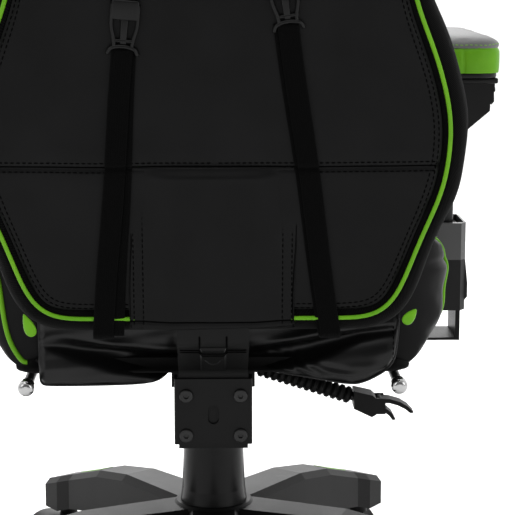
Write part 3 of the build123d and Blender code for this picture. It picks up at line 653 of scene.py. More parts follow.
def frontSurface(x, up):
    gap = edgeDistance(x, up)
    half = np.interp(up, outlineUp, outlineHalf)
    share = np.abs(x) / np.maximum(half, 0.05)
    rise = smoothStep(share, 0.56, 0.74) * (1 - smoothStep(share, 0.80, 1.0) * 0.85)
    tall = smoothStep(up, 0.09, 0.20) * (1 - smoothStep(up, 0.54, 0.66))
    bolster = backValues["bolsterRise"] * rise * tall
    crown = 0.004 * smoothStep(gap, 0.03, 0.10)
    dip = 0.0045 * bell(share, 0.55, 0.018) * smoothStep(up, 0.05, 0.12) * (1 - smoothStep(up, 0.62, 0.70))
    for seam in (0.27, 0.37, 0.47, 0.57):
        dip = dip + 0.004 * bell(up, seam, 0.005) * (1 - smoothStep(share, 0.50, 0.55))
    edge = 0.010 * (1 - smoothStep(gap, 0.026, 0.045))
    return backValues["depth"] - 0.004 + bolster + crown - dip - edge


def makeBack():
    border = [(0.0255, 0.0605), (0.0205, 0.0625), (0.0130, 0.0618), (0.0065, 0.0585), (0.0022, 0.0520),
              (0.0004, 0.0440), (0.0, 0.0360), (0.0001, 0.0270), (0.0012, 0.0180), (0.0040, 0.0100),
              (0.0085, 0.0045), (0.0135, 0.0014), (0.0172, 0.0012), (0.0190, 0.0030)]
    rim = outlineStrip("backBorder", border, 30, "back", "borderTwill")
    band = [(0.0186, 0.0032), (0.0200, 0.0022), (0.0220, 0.0026), (0.0240, 0.0034), (0.0256, 0.0042), (0.0270, 0.0048)]
    outlineStrip("backEdgeBand", band, 10, "back", "borderTwill")
    sheet = pointOut(cutSlots(backSheet(150, 230, backValues["bandInset"], rearSurface)), towards=-backForward)
    rear = addPiece("backRearPanel", sheet, "back", "panelPu")
    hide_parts("back_foam")
    sheet = pointOut(cutSlots(backSheet(170, 230, 0.0265, frontSurface)), towards=backForward)
    front = addPiece("backFrontPanel", sheet, "back", "shinyPu")
    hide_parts("back_bolsters")
    for name, inset, forward in (("backRearPiping", backValues["pipingInset"], 0.0002),
                                 ("backFrontPiping", 0.0262, 0.0605)):
        loop = shiftedLoop(inset, 420)
        sag = 0.0006 * np.sin(np.linspace(0, 46, 420)) + 0.0004 * np.sin(np.linspace(0, 113, 420))
        bm = tubeAlong(onBack(loop[:, 0], loop[:, 1], forward + 0.3 * sag), backValues["pipingRadius"], True)
        addPiece(name, bm, "back", "greenPu")


def makeSlotTrim():
    bm = bmesh.new()
    for side in (-1, 1):
        profile = [(slotValues["rim"], 0.0022), (slotValues["rim"] - 0.001, -0.0028),
                   (slotValues["rim"] - 0.003, -0.0048),
                   (0.0015, -0.0048), (-0.0005, -0.003), (-0.0012, 0.004), (-0.0012, 0.0665), (-0.0005, 0.0735),
                   (0.0015, 0.0755), (slotValues["rim"] - 0.003, 0.0755), (slotValues["rim"] - 0.001, 0.0735),
                   (slotValues["rim"], 0.068)]
        loops = [slotOutline(grow) for grow, _ in profile]

        def place(s, t):
            column = np.round(s * 48).astype(int) % 48
            row = np.round(t * (len(profile) - 1)).astype(int)
            flat = np.array([loops[r][c] for r, c in zip(row, column)])
            forward = np.array([profile[r][1] for r in row])
            return onBack(side * slotValues["centreX"] + flat[:, 0], slotValues["centreUp"] + flat[:, 1], forward)

        joinInto(bm, mappedGrid(48, len(profile) - 1, place, wrapColumns=True))
    addPiece("harnessSlotTrim", bm, "back", "nylon")


flapValues = {
    "halfWide": 0.0795,
    "low": 0.0108,
    "high": 0.1716,
    "thickness": 0.0016,
    "spineHalf": 0.037,
    "clear": 0.0078,
    "stitchX": (0.0672, 0.0762),
}


def flapSurface(x, up):
    lift = 1 - smoothStep(np.abs(x), flapValues["spineHalf"], 0.074)
    edge = 0.0024
    height = edge + (flapValues["clear"] - edge) * lift
    top = smoothStep(up, 0.160, 0.1715)
    height = height * (1 - top) + 0.0030 * top
    sag = 0.0010 * bell(up, 0.163, 0.004) * (1 - np.abs(x) / 0.09)
    folds = 0.0007 * np.sin(x * 55 + 8 * up) * smoothStep(up, 0.09, 0.16)
    hem = 0.0009 * bell(up, flapValues["low"] + 0.0065, 0.0014)
    lowBulge = 0.0008 * bell(up, flapValues["low"] + 0.003, 0.003)
    groove = 0.0
    for line in flapValues["stitchX"]:
        groove = groove + 0.0005 * bell(np.abs(x), line, 0.0012)
    return -(height + sag + folds - hem + lowBulge - groove)


def makeFlap():
    def place(s, t):
        x = (2 * s - 1) * flapValues["halfWide"]
        up = flapValues["low"] + t * (flapValues["high"] - flapValues["low"])
        x = x + 0.0012 * np.sin(up * 40) * (t < 1)
        up = up - 0.0014 * np.sin(x * 22) * (1 - t)
        return onBack(x, up, flapSurface(x, up))

    bm = mappedGrid(84, 84, place, uvSize=(0.16, 0.16))
    pointOut(bm, towards=-backForward)
    bmesh.ops.solidify(bm, geom=bm.faces[:], thickness=flapValues["thickness"])
    flap = addPiece("backFlap", bm, "back", "panelPu")
    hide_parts("back_flap")


def stitchLine(bm, points, surface, lift=0.0002):
    points = np.asarray(points, float)
    depth = surface(points[:, 0], points[:, 1])
    path = onBack(points[:, 0], points[:, 1], depth - lift)
    normals = np.repeat(-backForward[None], len(path), 0)
    addStitches(bm, path, normals, stitchValues)


seamValues = {"rimInsets": (0.0292, 0.0335), "seamGaps": (-0.0042, 0.0048), "seamShadeCord": 0.0010, "flapShadeCord": 0.0011,
              "hemUp": 0.0065}


def makeBackStitchesAndShadeCords():  # stitch rows, then near-black cords along the seam and the flap's edges, hem and top: painted shade of their folds
    bm = bmesh.new()
    for inset in seamValues["rimInsets"]:
        loop = shiftedLoop(inset, 900)
        stitchLine(bm, loop[20:-20], rearSurface)
    half = np.interp(backValues["seamUp"], *loopHalfWidth(0.029))
    for gap in seamValues["seamGaps"]:
        x = np.linspace(-half, half, 300)
        keep = (np.abs(x) > 0.081) if gap < 0 else np.abs(x) > -1
        for part in (x[(x < 0) & keep], x[(x >= 0) & keep]):
            stitchLine(bm, np.stack([part, part * 0 + backValues["seamUp"] + gap], 1), rearSurface)
    for line in flapValues["stitchX"]:
        for side in (-1, 1):
            up = np.linspace(flapValues["low"] + 0.002, flapValues["high"] - 0.006, 60)
            stitchLine(bm, np.stack([side * (line + 0 * up), up], 1), flapSurface)
    x = np.linspace(-0.076, 0.076, 60)
    stitchLine(bm, np.stack([x, 0 * x + flapValues["low"] + seamValues["hemUp"]], 1), flapSurface)
    # near-black cords laid in the horizontal seam: painted shade of the seam's groove
    for side in (-1, 1):
        x = side * np.linspace(0.079, half, 90)
        up = 0 * x + backValues["seamUp"] + 0.0003
        joinInto(bm, tubeAlong(onBack(x, up, rearSurface(x, up) - 0.0002), seamValues["seamShadeCord"]))
    # near-black cords along the flap's side edges, hem and top: painted shade under the flap's folds
    edge = flapValues["halfWide"] - 0.0008
    for corner in (-edge, edge):
        up = np.linspace(flapValues["low"], flapValues["high"] - 0.001, 60)
        x = corner + 0.0012 * np.sin(up * 40)
        joinInto(bm, tubeAlong(onBack(x, up, flapSurface(x, up) + 0.0010), seamValues["flapShadeCord"]))
    x = np.linspace(-edge, edge, 80)
    for high, lift in ((flapValues["low"] + 0.0064, 0.0003), (flapValues["high"] - 0.0006, 0.0010)):
        up = high + 0 * x
        joinInto(bm, tubeAlong(onBack(x, up, flapSurface(x, up) + lift), seamValues["seamShadeCord"]))
    addPiece("backStitchesAndShadeCords", bm, "back", "threadAndPaintedShade")


print("back")
makeBack()
makeSlotTrim()
makeFlap()
makeBackStitchesAndShadeCords()

# webbing straps with their tails and buckles

strapValues = {
    "halfWide": 0.0100,
    "thickness": 0.0013,
    "clear": 0.0034,
    "plusX": {"foot": 0.1065, "top": 0.0820, "buckleUp": 0.2850, "tailFoot": 0.0960, "tailTop": 0.0790,
              "slot": 0.0860},
    "minusX": {"foot": -0.1145, "top": -0.0705, "buckleUp": 0.3080, "tailFoot": -0.1120, "tailTop": -0.0665,
               "slot": -0.0860},
}


def ribbon(centres, sideways, outwards, halfWide, thickness, columns=8):
    rows = len(centres) - 1
    run = np.concatenate([[0], np.cumsum(np.linalg.norm(np.diff(centres, axis=0), axis=1))])

    def place(s, t):
        row = np.round(t * rows).astype(int)
        bow = (1 - (2 * s - 1) ** 2) * 0.0004
        return centres[row] + sideways[row] * ((2 * s - 1) * halfWide)[:, None] + outwards[row] * bow[:, None]

    bm = mappedGrid(columns, rows, place, uvSize=(2 * halfWide, run[-1]))
    bm.faces.ensure_lookup_table()
    face = bm.faces[len(bm.faces) // 2]
    row = np.argmin(((centres - np.array(face.calc_center_median())) ** 2).sum(1))
    if face.normal.dot(Vector(outwards[row])) < 0:
        bmesh.ops.reverse_faces(bm, faces=bm.faces)
    bmesh.ops.solidify(bm, geom=bm.faces[:], thickness=thickness)
    return bm


def rearStrapPath(x0, up0, x1, up1, clear, count):
    part = np.linspace(0, 1, count)
    x = x0 + (x1 - x0) * part + 0.0006 * np.sin(part * 9)
    up = up0 + (up1 - up0) * part
    depth = np.minimum(rearSurface(x, up), 0.0004) - clear
    sideways = np.repeat(np.array([[1.0, 0, 0]]), count, 0)
    outwards = np.repeat(-backForward[None], count, 0)
    return onBack(x, up, depth), sideways, outwards


def strapAround(side, footKey, topKey, clear):
    values = strapValues[side]
    foot = values[footKey]
    rear, _, outwards = rearStrapPath(foot, 0.004, values[topKey], values["buckleUp"], clear, 120)
    under = [(0.0005, -clear), (-0.0016, -clear + 0.002), (-0.0026, -clear + 0.006), (-0.0029, 0.018),
             (-0.0026, 0.040), (-0.0024, 0.060), (-0.0010, 0.0685), (0.004, 0.0712), (0.020, 0.0716), (0.045, 0.0716)]
    route = smoothPath([(foot, up, forward) for up, forward in under], 60)
    tail = onBack(route[:, 0], route[:, 1], route[:, 2])
    ahead = np.gradient(tail, axis=0)
    tailOut = np.cross(np.array([[1.0, 0, 0]]), ahead)
    tailOut /= np.linalg.norm(tailOut, axis=1)[:, None]
    if tailOut[0] @ backForward > 0:
        tailOut = -tailOut
    centres = np.vstack([rear[::-1], tail[2:]])
    outs = np.vstack([outwards, tailOut[2:]])
    sides = np.repeat(np.array([[1.0, 0, 0]]), len(centres), 0)
    return ribbon(centres, sides, outs, strapValues["halfWide"], strapValues["thickness"])


def makeStraps():
    bm = bmesh.new()
    for side in ("plusX", "minusX"):
        values = strapValues[side]
        joinInto(bm, strapAround(side, "foot", "top", strapValues["clear"]))
        tail = rearStrapPath(values["tailFoot"], 0.002, values["tailTop"], values["buckleUp"], 0.0017, 120)
        joinInto(bm, ribbon(*tail, strapValues["halfWide"] * 0.98, strapValues["thickness"]))
        upper = rearStrapPath(values["top"], values["buckleUp"] + 0.036, values["slot"], 0.636,
                              strapValues["clear"], 120)
        joinInto(bm, ribbon(*upper, strapValues["halfWide"], strapValues["thickness"]))
        route = smoothPath([(values["slot"], up, forward) for up, forward in
                            ((0.634, -0.0036), (0.639, -0.0080), (0.6425, -0.0060), (0.6440, 0.004), (0.6440, 0.030),
                             (0.6440, 0.072))], 40)
        through = onBack(route[:, 0], route[:, 1], route[:, 2])
        ahead = np.gradient(through, axis=0)
        outs = np.cross(np.array([[1.0, 0, 0]]), ahead)
        outs /= -np.linalg.norm(outs, axis=1)[:, None]
        sides = np.repeat(np.array([[1.0, 0, 0]]), len(through), 0)
        joinInto(bm, ribbon(through, sides, outs, strapValues["halfWide"], strapValues["thickness"]))
    straps = addPiece("backStraps", bm, "back", "webbing")
    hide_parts("back_straps")


buckleValues = {"halfWide": 0.0135, "long": 0.046, "thick": 0.0062, "clear": 0.0058}


def bentBar(points, radius):
    return tubeAlong(smoothPath(points, 26), radius, False, 3)


def oneBuckle():
    half = buckleValues["halfWide"]
    bm = bmesh.new()
    horn = [(-half - 0.0005, -0.0035, 0.0008), (-half + 0.0005, 0.0005, 0), (-half + 0.004, 0.0035, -0.0004),
            (0, 0.0050, -0.0008),
            (half - 0.004, 0.0035, -0.0004), (half - 0.0005, 0.0005, 0), (half + 0.0005, -0.0035, 0.0008)]
    joinInto(bm, bentBar(horn, 0.0019))
    crossbar = [(-half + 0.003, 0.0095, 0), (0, 0.0100, -0.0003), (half - 0.003, 0.0095, 0)]
    joinInto(bm, bentBar(crossbar, 0.0017))
    for side in (-1, 1):
        arm = [(side * (half - 0.0055), 0.002, 0), (side * (half - 0.0050), 0.010, 0),
               (side * (half - 0.0028), 0.017, 0),
               (side * (half - 0.0012), 0.024, 0), (side * (half - 0.0018), 0.029, 0)]
        joinInto(bm, bentBar(arm, 0.0019))
    tongue = roundedBlock((0.0062, 0.024, 0.0030), 0.0012)
    for vert in tongue.verts:
        vert.co.x *= 1.0 + 18 * max(0.0, vert.co.y)
    joinInto(bm, tongue, Matrix.Translation((0, 0.0185, 0)))
    for side in (-1, 1):
        rail = roundedBlock((0.0030, 0.020, 0.0052), 0.0011)
        joinInto(bm, rail, Matrix.Translation((side * (half - 0.0012), 0.0335, 0)))
    shell = roundedBlock((2 * half, 0.019, buckleValues["thick"]), 0.0022)
    for vert in shell.verts:
        vert.co.x *= 1 - 6 * max(0.0, vert.co.y)
    joinInto(bm, shell, Matrix.Translation((0, 0.0385, 0)))
    bridge = roundedBlock((2 * half - 0.004, 0.0045, 0.0042), 0.0014)
    joinInto(bm, bridge, Matrix.Translation((0, 0.0505, 0)))
    bmesh.ops.translate(bm, vec=(0, -0.002, 0), verts=bm.verts)
    return bm


def makeBuckles():
    bm = bmesh.new()
    for side, turn in (("plusX", 5.0), ("minusX", -8.5)):
        values = strapValues[side]
        place = onBack(values["top"], values["buckleUp"], -buckleValues["clear"])
        axes = Matrix((Vector((1, 0, 0)), Vector(backUp), Vector(backForward))).transposed().to_4x4()
        axes.translation = Vector(place)
        joinInto(bm, oneBuckle(), axes @ Matrix.Rotation(math.radians(turn), 4, "Z"))
    buckles = addPiece("strapBuckles", bm, "back", "buckle")
    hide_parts("strap_buckles")


tabValues = {"half": 0.0052, "reach": 0.019, "thick": 0.0035}


def makePullTabs():
    bm = bmesh.new()
    for x, up, turn, long in ((0.1790, 0.0130, -20.0, 1.05), (-0.1920, 0.0200, 37.0, 0.80)):
        tab = bmesh.new()
        bmesh.ops.create_uvsphere(tab, u_segments=24, v_segments=14, radius=1)
        size = (tabValues["half"], tabValues["reach"] * long * 0.62, tabValues["thick"])
        bmesh.ops.scale(tab, vec=size, verts=tab.verts)
        for vert in tab.verts:
            vert.co.x *= 1 - 45 * vert.co.y
        axes = Matrix((Vector((1, 0, 0)), Vector(backUp), Vector(backForward))).transposed().to_4x4()
        axes.translation = Vector(onBack(x, up, -0.0005))
        bmesh.ops.rotate(tab, matrix=Matrix.Rotation(math.radians(turn), 3, "Z"), verts=tab.verts)
        joinInto(bm, tab, axes)
    addPiece("backPullTabs", bm, "back", "greenPu")


print("straps")
makeStraps()
makeBuckles()
makePullTabs()

# cushions: each starts as a copy of its own solid, is blown up as cloth, then gets its seams

from mathutils.bvhtree import BVHTree

padValues = {
    "seatPad": {"nodes": ["seat_pad"], "body": "seat", "voxel": 0.0060, "tuck": 0.006, "pressure": 4.0, "cap": 0.012},
    "seatBolsters": {"nodes": ["seat_bolsters"], "body": "seat", "voxel": 0.0055, "tuck": 0.004, "pressure": 4.0,
                     "cap": 0.0075},
    "lumbarPillow": {"nodes": ["lumbar_pillow"], "body": "back", "voxel": 0.0050, "tuck": 0.009, "pressure": 5.0,
                     "cap": 0.016},
    "headPillow": {"nodes": ["head_pillow"], "body": "back", "voxel": 0.0045, "tuck": 0.009, "pressure": 5.0,
                   "cap": 0.015},
    "footrestPad": {"nodes": ["footrest_cushion"], "body": "footrest_flap", "voxel": 0.0045, "tuck": 0.004,
                    "pressure": 4.0, "cap": 0.006},
    "armPadLeft": {"nodes": ["arm_pad_left"], "body": "arm_left", "voxel": 0.0040, "tuck": 0.003, "pressure": 4.0,
                   "cap": 0.005},
    "armPadRight": {"nodes": ["arm_pad_right"], "body": "arm_right", "voxel": 0.0040, "tuck": 0.003, "pressure": 4.0,
                    "cap": 0.005},
}
clothFrames = 20


def meshPlaces(mesh):
    flat = np.empty(len(mesh.vertices) * 3)
    mesh.vertices.foreach_get("co", flat)
    return flat.reshape(-1, 3)


def meshNormals(mesh):
    flat = np.empty(len(mesh.vertices) * 3)
    mesh.vertex_normals.foreach_get("vector", flat)
    return flat.reshape(-1, 3)


def movePlaces(mesh, places):
    mesh.vertices.foreach_set("co", np.ascontiguousarray(places, float).ravel())
    mesh.update()


def bakedMesh(piece):
    found = bpy.data.meshes.new_from_object(piece.evaluated_get(bpy.context.evaluated_depsgraph_get()))
    piece.modifiers.clear()
    return found


def clothPad(name, material, sculpt=None):
    values = padValues[name]
    bm = bmesh.new()
    for node in values["nodes"]:
        bm.from_mesh(cadNodes[node].data)
    bmesh.ops.remove_doubles(bm, verts=bm.verts, dist=1e-5)
    mesh = bpy.data.meshes.new(name)
    bm.to_mesh(mesh)
    bm.free()
    piece = bpy.data.objects.new(name, mesh)
    bpy.context.scene.collection.objects.link(piece)
    remesh = piece.modifiers.new("remesh", "REMESH")
    remesh.mode = "VOXEL"
    remesh.voxel_size = values["voxel"]
    piece.data = bakedMesh(piece)
    start = meshPlaces(piece.data)
    movePlaces(piece.data, start - meshNormals(piece.data) * values["tuck"])
    blowUp(piece, values)
    settle = piece.modifiers.new("settle", "SMOOTH")
    settle.iterations = 3
    settle.factor = 0.5
    finer = piece.modifiers.new("finer", "SUBSURF")
    finer.levels = 1
    finer.render_levels = 1
    piece.data = bakedMesh(piece)
    if sculpt:
        movePlaces(piece.data, sculpt(meshPlaces(piece.data), meshNormals(piece.data)))
    piece.data.name = name
    for polygon in piece.data.polygons:
        polygon.use_smooth = True
    piece.data.materials.clear()
    piece.data.materials.append(materials[material])
    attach(piece, values["body"])
    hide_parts(*values["nodes"])
    return piece


def blowUp(piece, values):
    before = meshPlaces(piece.data)
    cloth = piece.modifiers.new("cloth", "CLOTH")
    cloth.settings.quality = 5
    cloth.settings.mass = 0.3
    cloth.settings.tension_stiffness = 12
    cloth.settings.compression_stiffness = 12
    cloth.settings.shear_stiffness = 5
    cloth.settings.bending_stiffness = 0.5
    cloth.settings.use_pressure = True
    cloth.settings.uniform_pressure_force = values["pressure"]
    cloth.settings.effector_weights.gravity = 0
    cloth.collision_settings.use_collision = False
    cloth.point_cache.frame_end = clothFrames
    for frame in range(1, clothFrames + 1):
        bpy.context.scene.frame_set(frame)
    after = meshPlaces(bakedMesh(piece))
    bpy.context.scene.frame_set(1)
    shift = after - before
    far = np.linalg.norm(shift, axis=1)
    shift *= (np.minimum(far, values["cap"] * np.tanh(far / values["cap"]) * 1.0) / np.maximum(far, 1e-9))[:, None]
    movePlaces(piece.data, before + shift)
    print("  blown up", piece.name, len(before), "points, at most", round(float(far.max()) * 1000, 1), "mm")


def surfaceOf(piece):
    return BVHTree.FromPolygons([vert.co[:] for vert in piece.data.vertices],
                                [polygon.vertices[:] for polygon in piece.data.polygons])


def snapTo(tree, points, lift=0.0):
    places, normals = [], []
    for point in points:
        place, normal, _, _ = tree.find_nearest(Vector(point))
        places.append(np.array(place) + np.array(normal) * lift)
        normals.append(np.array(normal))
    return np.array(places), np.array(normals)


def snappedTube(tree, points, radius, lift=0.0005, count=160, closed=False):
    places, _ = snapTo(tree, smoothPath(points, count, closed), lift)
    for _ in range(4):
        inner = 0.5 * places[1:-1] + 0.25 * (places[:-2] + places[2:])
        places[1:-1] = inner
    return tubeAlong(places, radius, closed)


seatSeams = {"across": (-0.215, -0.125, -0.035, 0.055), "depth": 0.0045, "width": 0.0065}


def sculptSeatPad(places, normals):
    top = smoothStep(normals[:, 2], 0.3, 0.8)
    groove = 0 * top
    for seam in seatSeams["across"]:
        groove += bell(places[:, 1], seam, seatSeams["width"])
    for line in (-0.128, 0.128):
        groove += 0.8 * bell(places[:, 0], line, 0.006)
    places = places - normals * (np.minimum(groove, 1.2) * top * seatSeams["depth"])[:, None]
    rear = smoothStep(places[:, 1], 0.10, 0.155)
    places[:, 1] -= rear * 0.034 * (1 - smoothStep(places[:, 2], 0.392, 0.415))
    return places


def sculptBolsters(places, normals):
    x, y, z = np.abs(places[:, 0]), places[:, 1], places[:, 2]
    out = smoothStep(np.abs(normals[:, 0]), 0.3, 0.8) * smoothStep(x, 0.19, 0.22)
    crease = 0.0012 * np.sin(z * 130 + 6 * np.sin(y * 14)) * bell(y, 0.12, 0.07) * out
    seam = 0.0030 * bell(z, 0.452 + 0.006 * np.sin(y * 9), 0.0045) * out
    return places + normals * (crease - seam)[:, None]


def pillowSculpt(name, seamUp):
    low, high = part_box(padValues[name]["nodes"][0])
    middle = (np.array(low) + np.array(high)) / 2

    def sculpt(places, normals):
        local = places - middle
        x, up = local[:, 0], local @ backUp
        half = (high[0] - low[0]) / 2
        edge = np.abs(normals @ backForward)
        rim = 0.0035 * bell(edge, 0.0, 0.16)
        folds = 0.0016 * np.sin(np.arctan2(up, x) * 11) * smoothStep(np.hypot(x / half, up / 0.07), 0.75, 1.1)
        seam = 0.0030 * bell(up, seamUp, 0.0045) * smoothStep(edge, 0.3, 0.7)
        return places - normals * (rim + folds + seam)[:, None]

    return sculpt


def sculptFootrest(places, normals):
    low = smoothStep(-normals[:, 2], 0.3, 0.8)
    groove = bell(places[:, 0], -0.05, 0.005) + bell(places[:, 0], 0.05, 0.005)
    return places - normals * (groove * low * 0.003)[:, None]


armPadValues = {"seamUp": 0.0325, "seamDeep": 0.0016, "endSeam": 0.0180}


def finishArmPad(name, side):
    piece = clothPad(name, "greenPu")
    low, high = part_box(padValues[name]["nodes"][0])
    seam = low[2] + armPadValues["seamUp"]
    bm = bmesh.new()
    bm.from_mesh(piece.data)
    bmesh.ops.bisect_plane(bm, geom=bm.verts[:] + bm.edges[:] + bm.faces[:], plane_co=(0, 0, low[2] + 0.0055),
                           plane_no=(0, 0, 1), clear_inner=True)
    bmesh.ops.bisect_plane(bm, geom=bm.verts[:] + bm.edges[:] + bm.faces[:], plane_co=(0, 0, seam), plane_no=(0, 0, 1))
    bm.normal_update()
    middleX = (low[0] + high[0]) / 2
    for vert in bm.verts:
        level = vert.co.z - seam
        dent = armPadValues["seamDeep"] * float(bell(level, 0, 0.0022))
        dent += 0.0010 * float(bell(abs(vert.co.x - middleX), 0.0, armPadValues["endSeam"] * 0.07)) * (level < 0)
        vert.co -= vert.normal * dent
        vert.co += vert.normal * 0.0008 * (level > 0.001)
    for face in bm.faces:
        face.material_index = 1 if face.calc_center_median().z > seam else 0
        face.smooth = True
    bm.to_mesh(piece.data)
    bm.free()
    piece.data.materials.append(materials["armPu"])
    plate = bmesh.new()
    bmesh.ops.create_cube(plate, size=1)
    size = (high[0] - low[0] - 0.012, high[1] - low[1] - 0.012, 0.0060)
    bmesh.ops.scale(plate, vec=size, verts=plate.verts)
    upright = [edge for edge in plate.edges if abs(edge.verts[0].co.z - edge.verts[1].co.z) > 0.001]
    bmesh.ops.bevel(plate, geom=upright, offset=0.022, affect="EDGES", segments=8, profile=0.5, material=-1)
    rims = [edge for edge in plate.edges if abs(edge.verts[0].co.z - edge.verts[1].co.z) < 1e-5]
    bmesh.ops.bevel(plate, geom=rims, offset=0.0012, affect="EDGES", segments=2, profile=0.5, material=-1)
    bmesh.ops.translate(plate, vec=(middleX, (low[1] + high[1]) / 2, low[2] + 0.0032), verts=plate.verts)
    addPiece("armPadPlate" + side, plate, padValues[name]["body"], "armPlastic")
    stitches = bmesh.new()
    tree = surfaceOf(piece)
    ring = []
    for turn in np.linspace(0, 2 * math.pi, 41)[:-1]:
        ring.append((middleX + 0.055 * math.cos(turn), (low[1] + high[1]) / 2 + 0.15 * math.sin(turn), seam + 0.0045))
    path = smoothPath(ring, 420, True)
    places, normals = snapTo(tree, path, 0.0002)
    addStitches(stitches, places, normals, {"pitch": 0.0052, "long": 0.0036, "wide": 0.0009, "high": 0.0008})
    addPiece("armPadStitching" + side, stitches, padValues[name]["body"], "greenThread")
    return piece


print("cushions")
seatPad = clothPad("seatPad", "shinyPu", sculptSeatPad)
seatBolsters = clothPad("seatBolsters", "panelPu", sculptBolsters)
lumbarPillow = clothPad("lumbarPillow", "shinyPu", pillowSculpt("lumbarPillow", 0.048))
headPillow = clothPad("headPillow", "shinyPu", pillowSculpt("headPillow", 0.040))
footrestPad = clothPad("footrestPad", "shinyPu", sculptFootrest)
finishArmPad("armPadLeft", "Left")
finishArmPad("armPadRight", "Right")

# the seat's rear cover, welts and seams

coverValues = {
    "plane": 0.1672,
    "top": 0.450,
    "edge": [(-0.1905, 0.404), (-0.1880, 0.372), (-0.1850, 0.361), (-0.1780, 0.351), (-0.1580, 0.3400),
             (-0.1420, 0.3362), (-0.0950, 0.3450), (-0.0600, 0.3490), (-0.0420, 0.3530), (0.0, 0.3545),
             (0.0400, 0.3530), (0.0480, 0.3450), (0.0620, 0.3385), (0.1150, 0.3372),
             (0.1700, 0.3372), (0.1755, 0.3385), (0.1775, 0.3440)],
    "hollow": [(-0.190, 0.395, 0.004, 0.0), (-0.150, 0.388, 0.005, 0.010), (-0.100, 0.373, 0.010, 0.022),
               (-0.040, 0.361, 0.014, 0.028), (0.040, 0.357, 0.014, 0.028), (0.100, 0.366, 0.011, 0.022),
               (0.150, 0.378, 0.008, 0.010), (0.178, 0.384, 0.005, 0.0)],
    "ridge": [(-0.19, 0.402), (-0.171, 0.400), (-0.126, 0.3947), (-0.095, 0.388), (-0.035, 0.373), (0.037, 0.372),
              (0.115, 0.3787), (0.178, 0.385)],
}


def hollowDepth(x, z):  # the gap that opens where the cover is pulled in
    stations, heights, reaches, depths = zip(*coverValues["hollow"])
    centre = np.interp(x, stations, heights)
    reach = np.interp(x, stations, reaches)
    return np.interp(x, stations, depths) * np.exp(-(np.abs((z - centre) / reach)) ** 3)


def coverDepth(x, z):
    ridge = np.interp(x, *zip(*coverValues["ridge"]))
    low = np.interp(x, *zip(*coverValues["edge"]))
    middle = np.exp(-(x / 0.16) ** 2)
    side = smoothStep(np.abs(x), 0.03, 0.14)
    depth = 0.0060 * bell(z, ridge, 0.0050) * (0.35 + 0.65 * middle)
    depth -= hollowDepth(x, z)
    depth += (0.0085 * side - 0.0035) * bell(z, low + 0.016, 0.016)
    depth -= 0.0040 * bell(z, low, 0.0040)
    wrinkle = np.sin((z - 0.35 * x) * 520 + 5 * np.sin(x * 40)) * bell(z, low + 0.010, 0.009)
    depth += 0.0010 * wrinkle * smoothStep(-x, 0.03, 0.09) * (1 - smoothStep(-x, 0.13, 0.17))
    depth += 0.0007 * np.sin(x * 90 + z * 160) * np.sin(z * 230 - x * 35)
    reach = np.minimum(np.abs(x - 0.1775), np.abs(x + 0.1905))
    return depth - 0.0035 * (1 - smoothStep(reach, 0.0, 0.006))


def makeSeatCover():
    left, right = coverValues["edge"][-1][0], coverValues["edge"][0][0]

    def place(s, t):
        x = right + s * (left - right)
        low = np.interp(x, *zip(*coverValues["edge"]))
        z = low + t ** 1.15 * (coverValues["top"] - low)
        return np.stack([x, coverValues["plane"] + coverDepth(x, z), z], 1)

    bm = pointOut(mappedGrid(190, 70, place, uvSize=(0.37, 0.11)), towards=(0, 1, 0))
    bmesh.ops.solidify(bm, geom=bm.faces[:], thickness=0.0014)
    cover = addPiece("seatRearCover", bm, "seat", "shinyPu")


def makeUnderside():
    bm = bmesh.new()
    bmesh.ops.create_cube(bm, size=1)
    low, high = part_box("seat_board")
    bmesh.ops.scale(bm, vec=(high[0] - low[0] + 0.010, high[1] - low[1] + 0.022, 0.0024), verts=bm.verts)
    upright = [edge for edge in bm.edges if abs(edge.verts[0].co.z - edge.verts[1].co.z) > 0.001]
    bmesh.ops.bevel(bm, geom=upright, offset=0.030, affect="EDGES", segments=5, profile=0.5, material=-1)
    bmesh.ops.translate(bm, vec=(0, (low[1] + high[1]) / 2 + 0.002, low[2] + 0.0002), verts=bm.verts)
    return bm


def makeWelts():
    tree = surfaceOf(seatBolsters)
    bm = bmesh.new()
    rear = [(0.1890, 0.160, 0.3500), (0.2010, 0.160, 0.3665), (0.2085, 0.158, 0.3810), (0.2126, 0.157, 0.3970),
            (0.2170, 0.155, 0.4310), (0.2190, 0.150, 0.4560), (0.2260, 0.130, 0.4800), (0.2340, 0.090, 0.4860),
            (0.2360, 0.000, 0.4870), (0.2360, -0.120, 0.4870), (0.2330, -0.230, 0.4860), (0.2200, -0.285, 0.4760),
            (0.2080, -0.300, 0.4400), (0.2000, -0.300, 0.3900)]
    joinInto(bm, snappedTube(tree, rear, 0.0026, 0.0008, 260))
    far = [(-0.2200, 0.100, 0.3620), (-0.2360, 0.100, 0.3900), (-0.2440, 0.098, 0.4300), (-0.2430, 0.094, 0.4700),
           (-0.2360, 0.080, 0.4860)]
    far += [(-x, y, z) for x, y, z in rear[8:]]
    joinInto(bm, snappedTube(tree, far, 0.0026, 0.0008, 260))
    for side in (-1, 1):
        inner = [(side * 0.1660, y, 0.4600 - 0.002 - 0.012 * float(smoothStep(-y, 0.24, 0.29)))
                 for y in np.linspace(0.140, -0.275, 12)]
        joinInto(bm, tubeAlong(smoothPath(inner, 90), 0.0024))
    addPiece("seatWelts", bm, "seat", "greenPu")
    dark = bmesh.new()
    edge = [(x, coverValues["plane"] + float(coverDepth(np.array(x), np.array(z))) + 0.0002, z)
            for x, z in [(-0.1900, 0.440)] + coverValues["edge"][:9]]
    joinInto(dark, tubeAlong(smoothPath(edge, 120), 0.0014))
    edge = [(x, coverValues["plane"] + float(coverDepth(np.array(x), np.array(z))) + 0.0002, z)
            for x, z in [(0.1778, 0.440)] + coverValues["edge"][:9:-1]]
    joinInto(dark, tubeAlong(smoothPath(edge, 120), 0.0014))
    addPiece("seatCoverPiping", dark, "seat", "shinyPu")


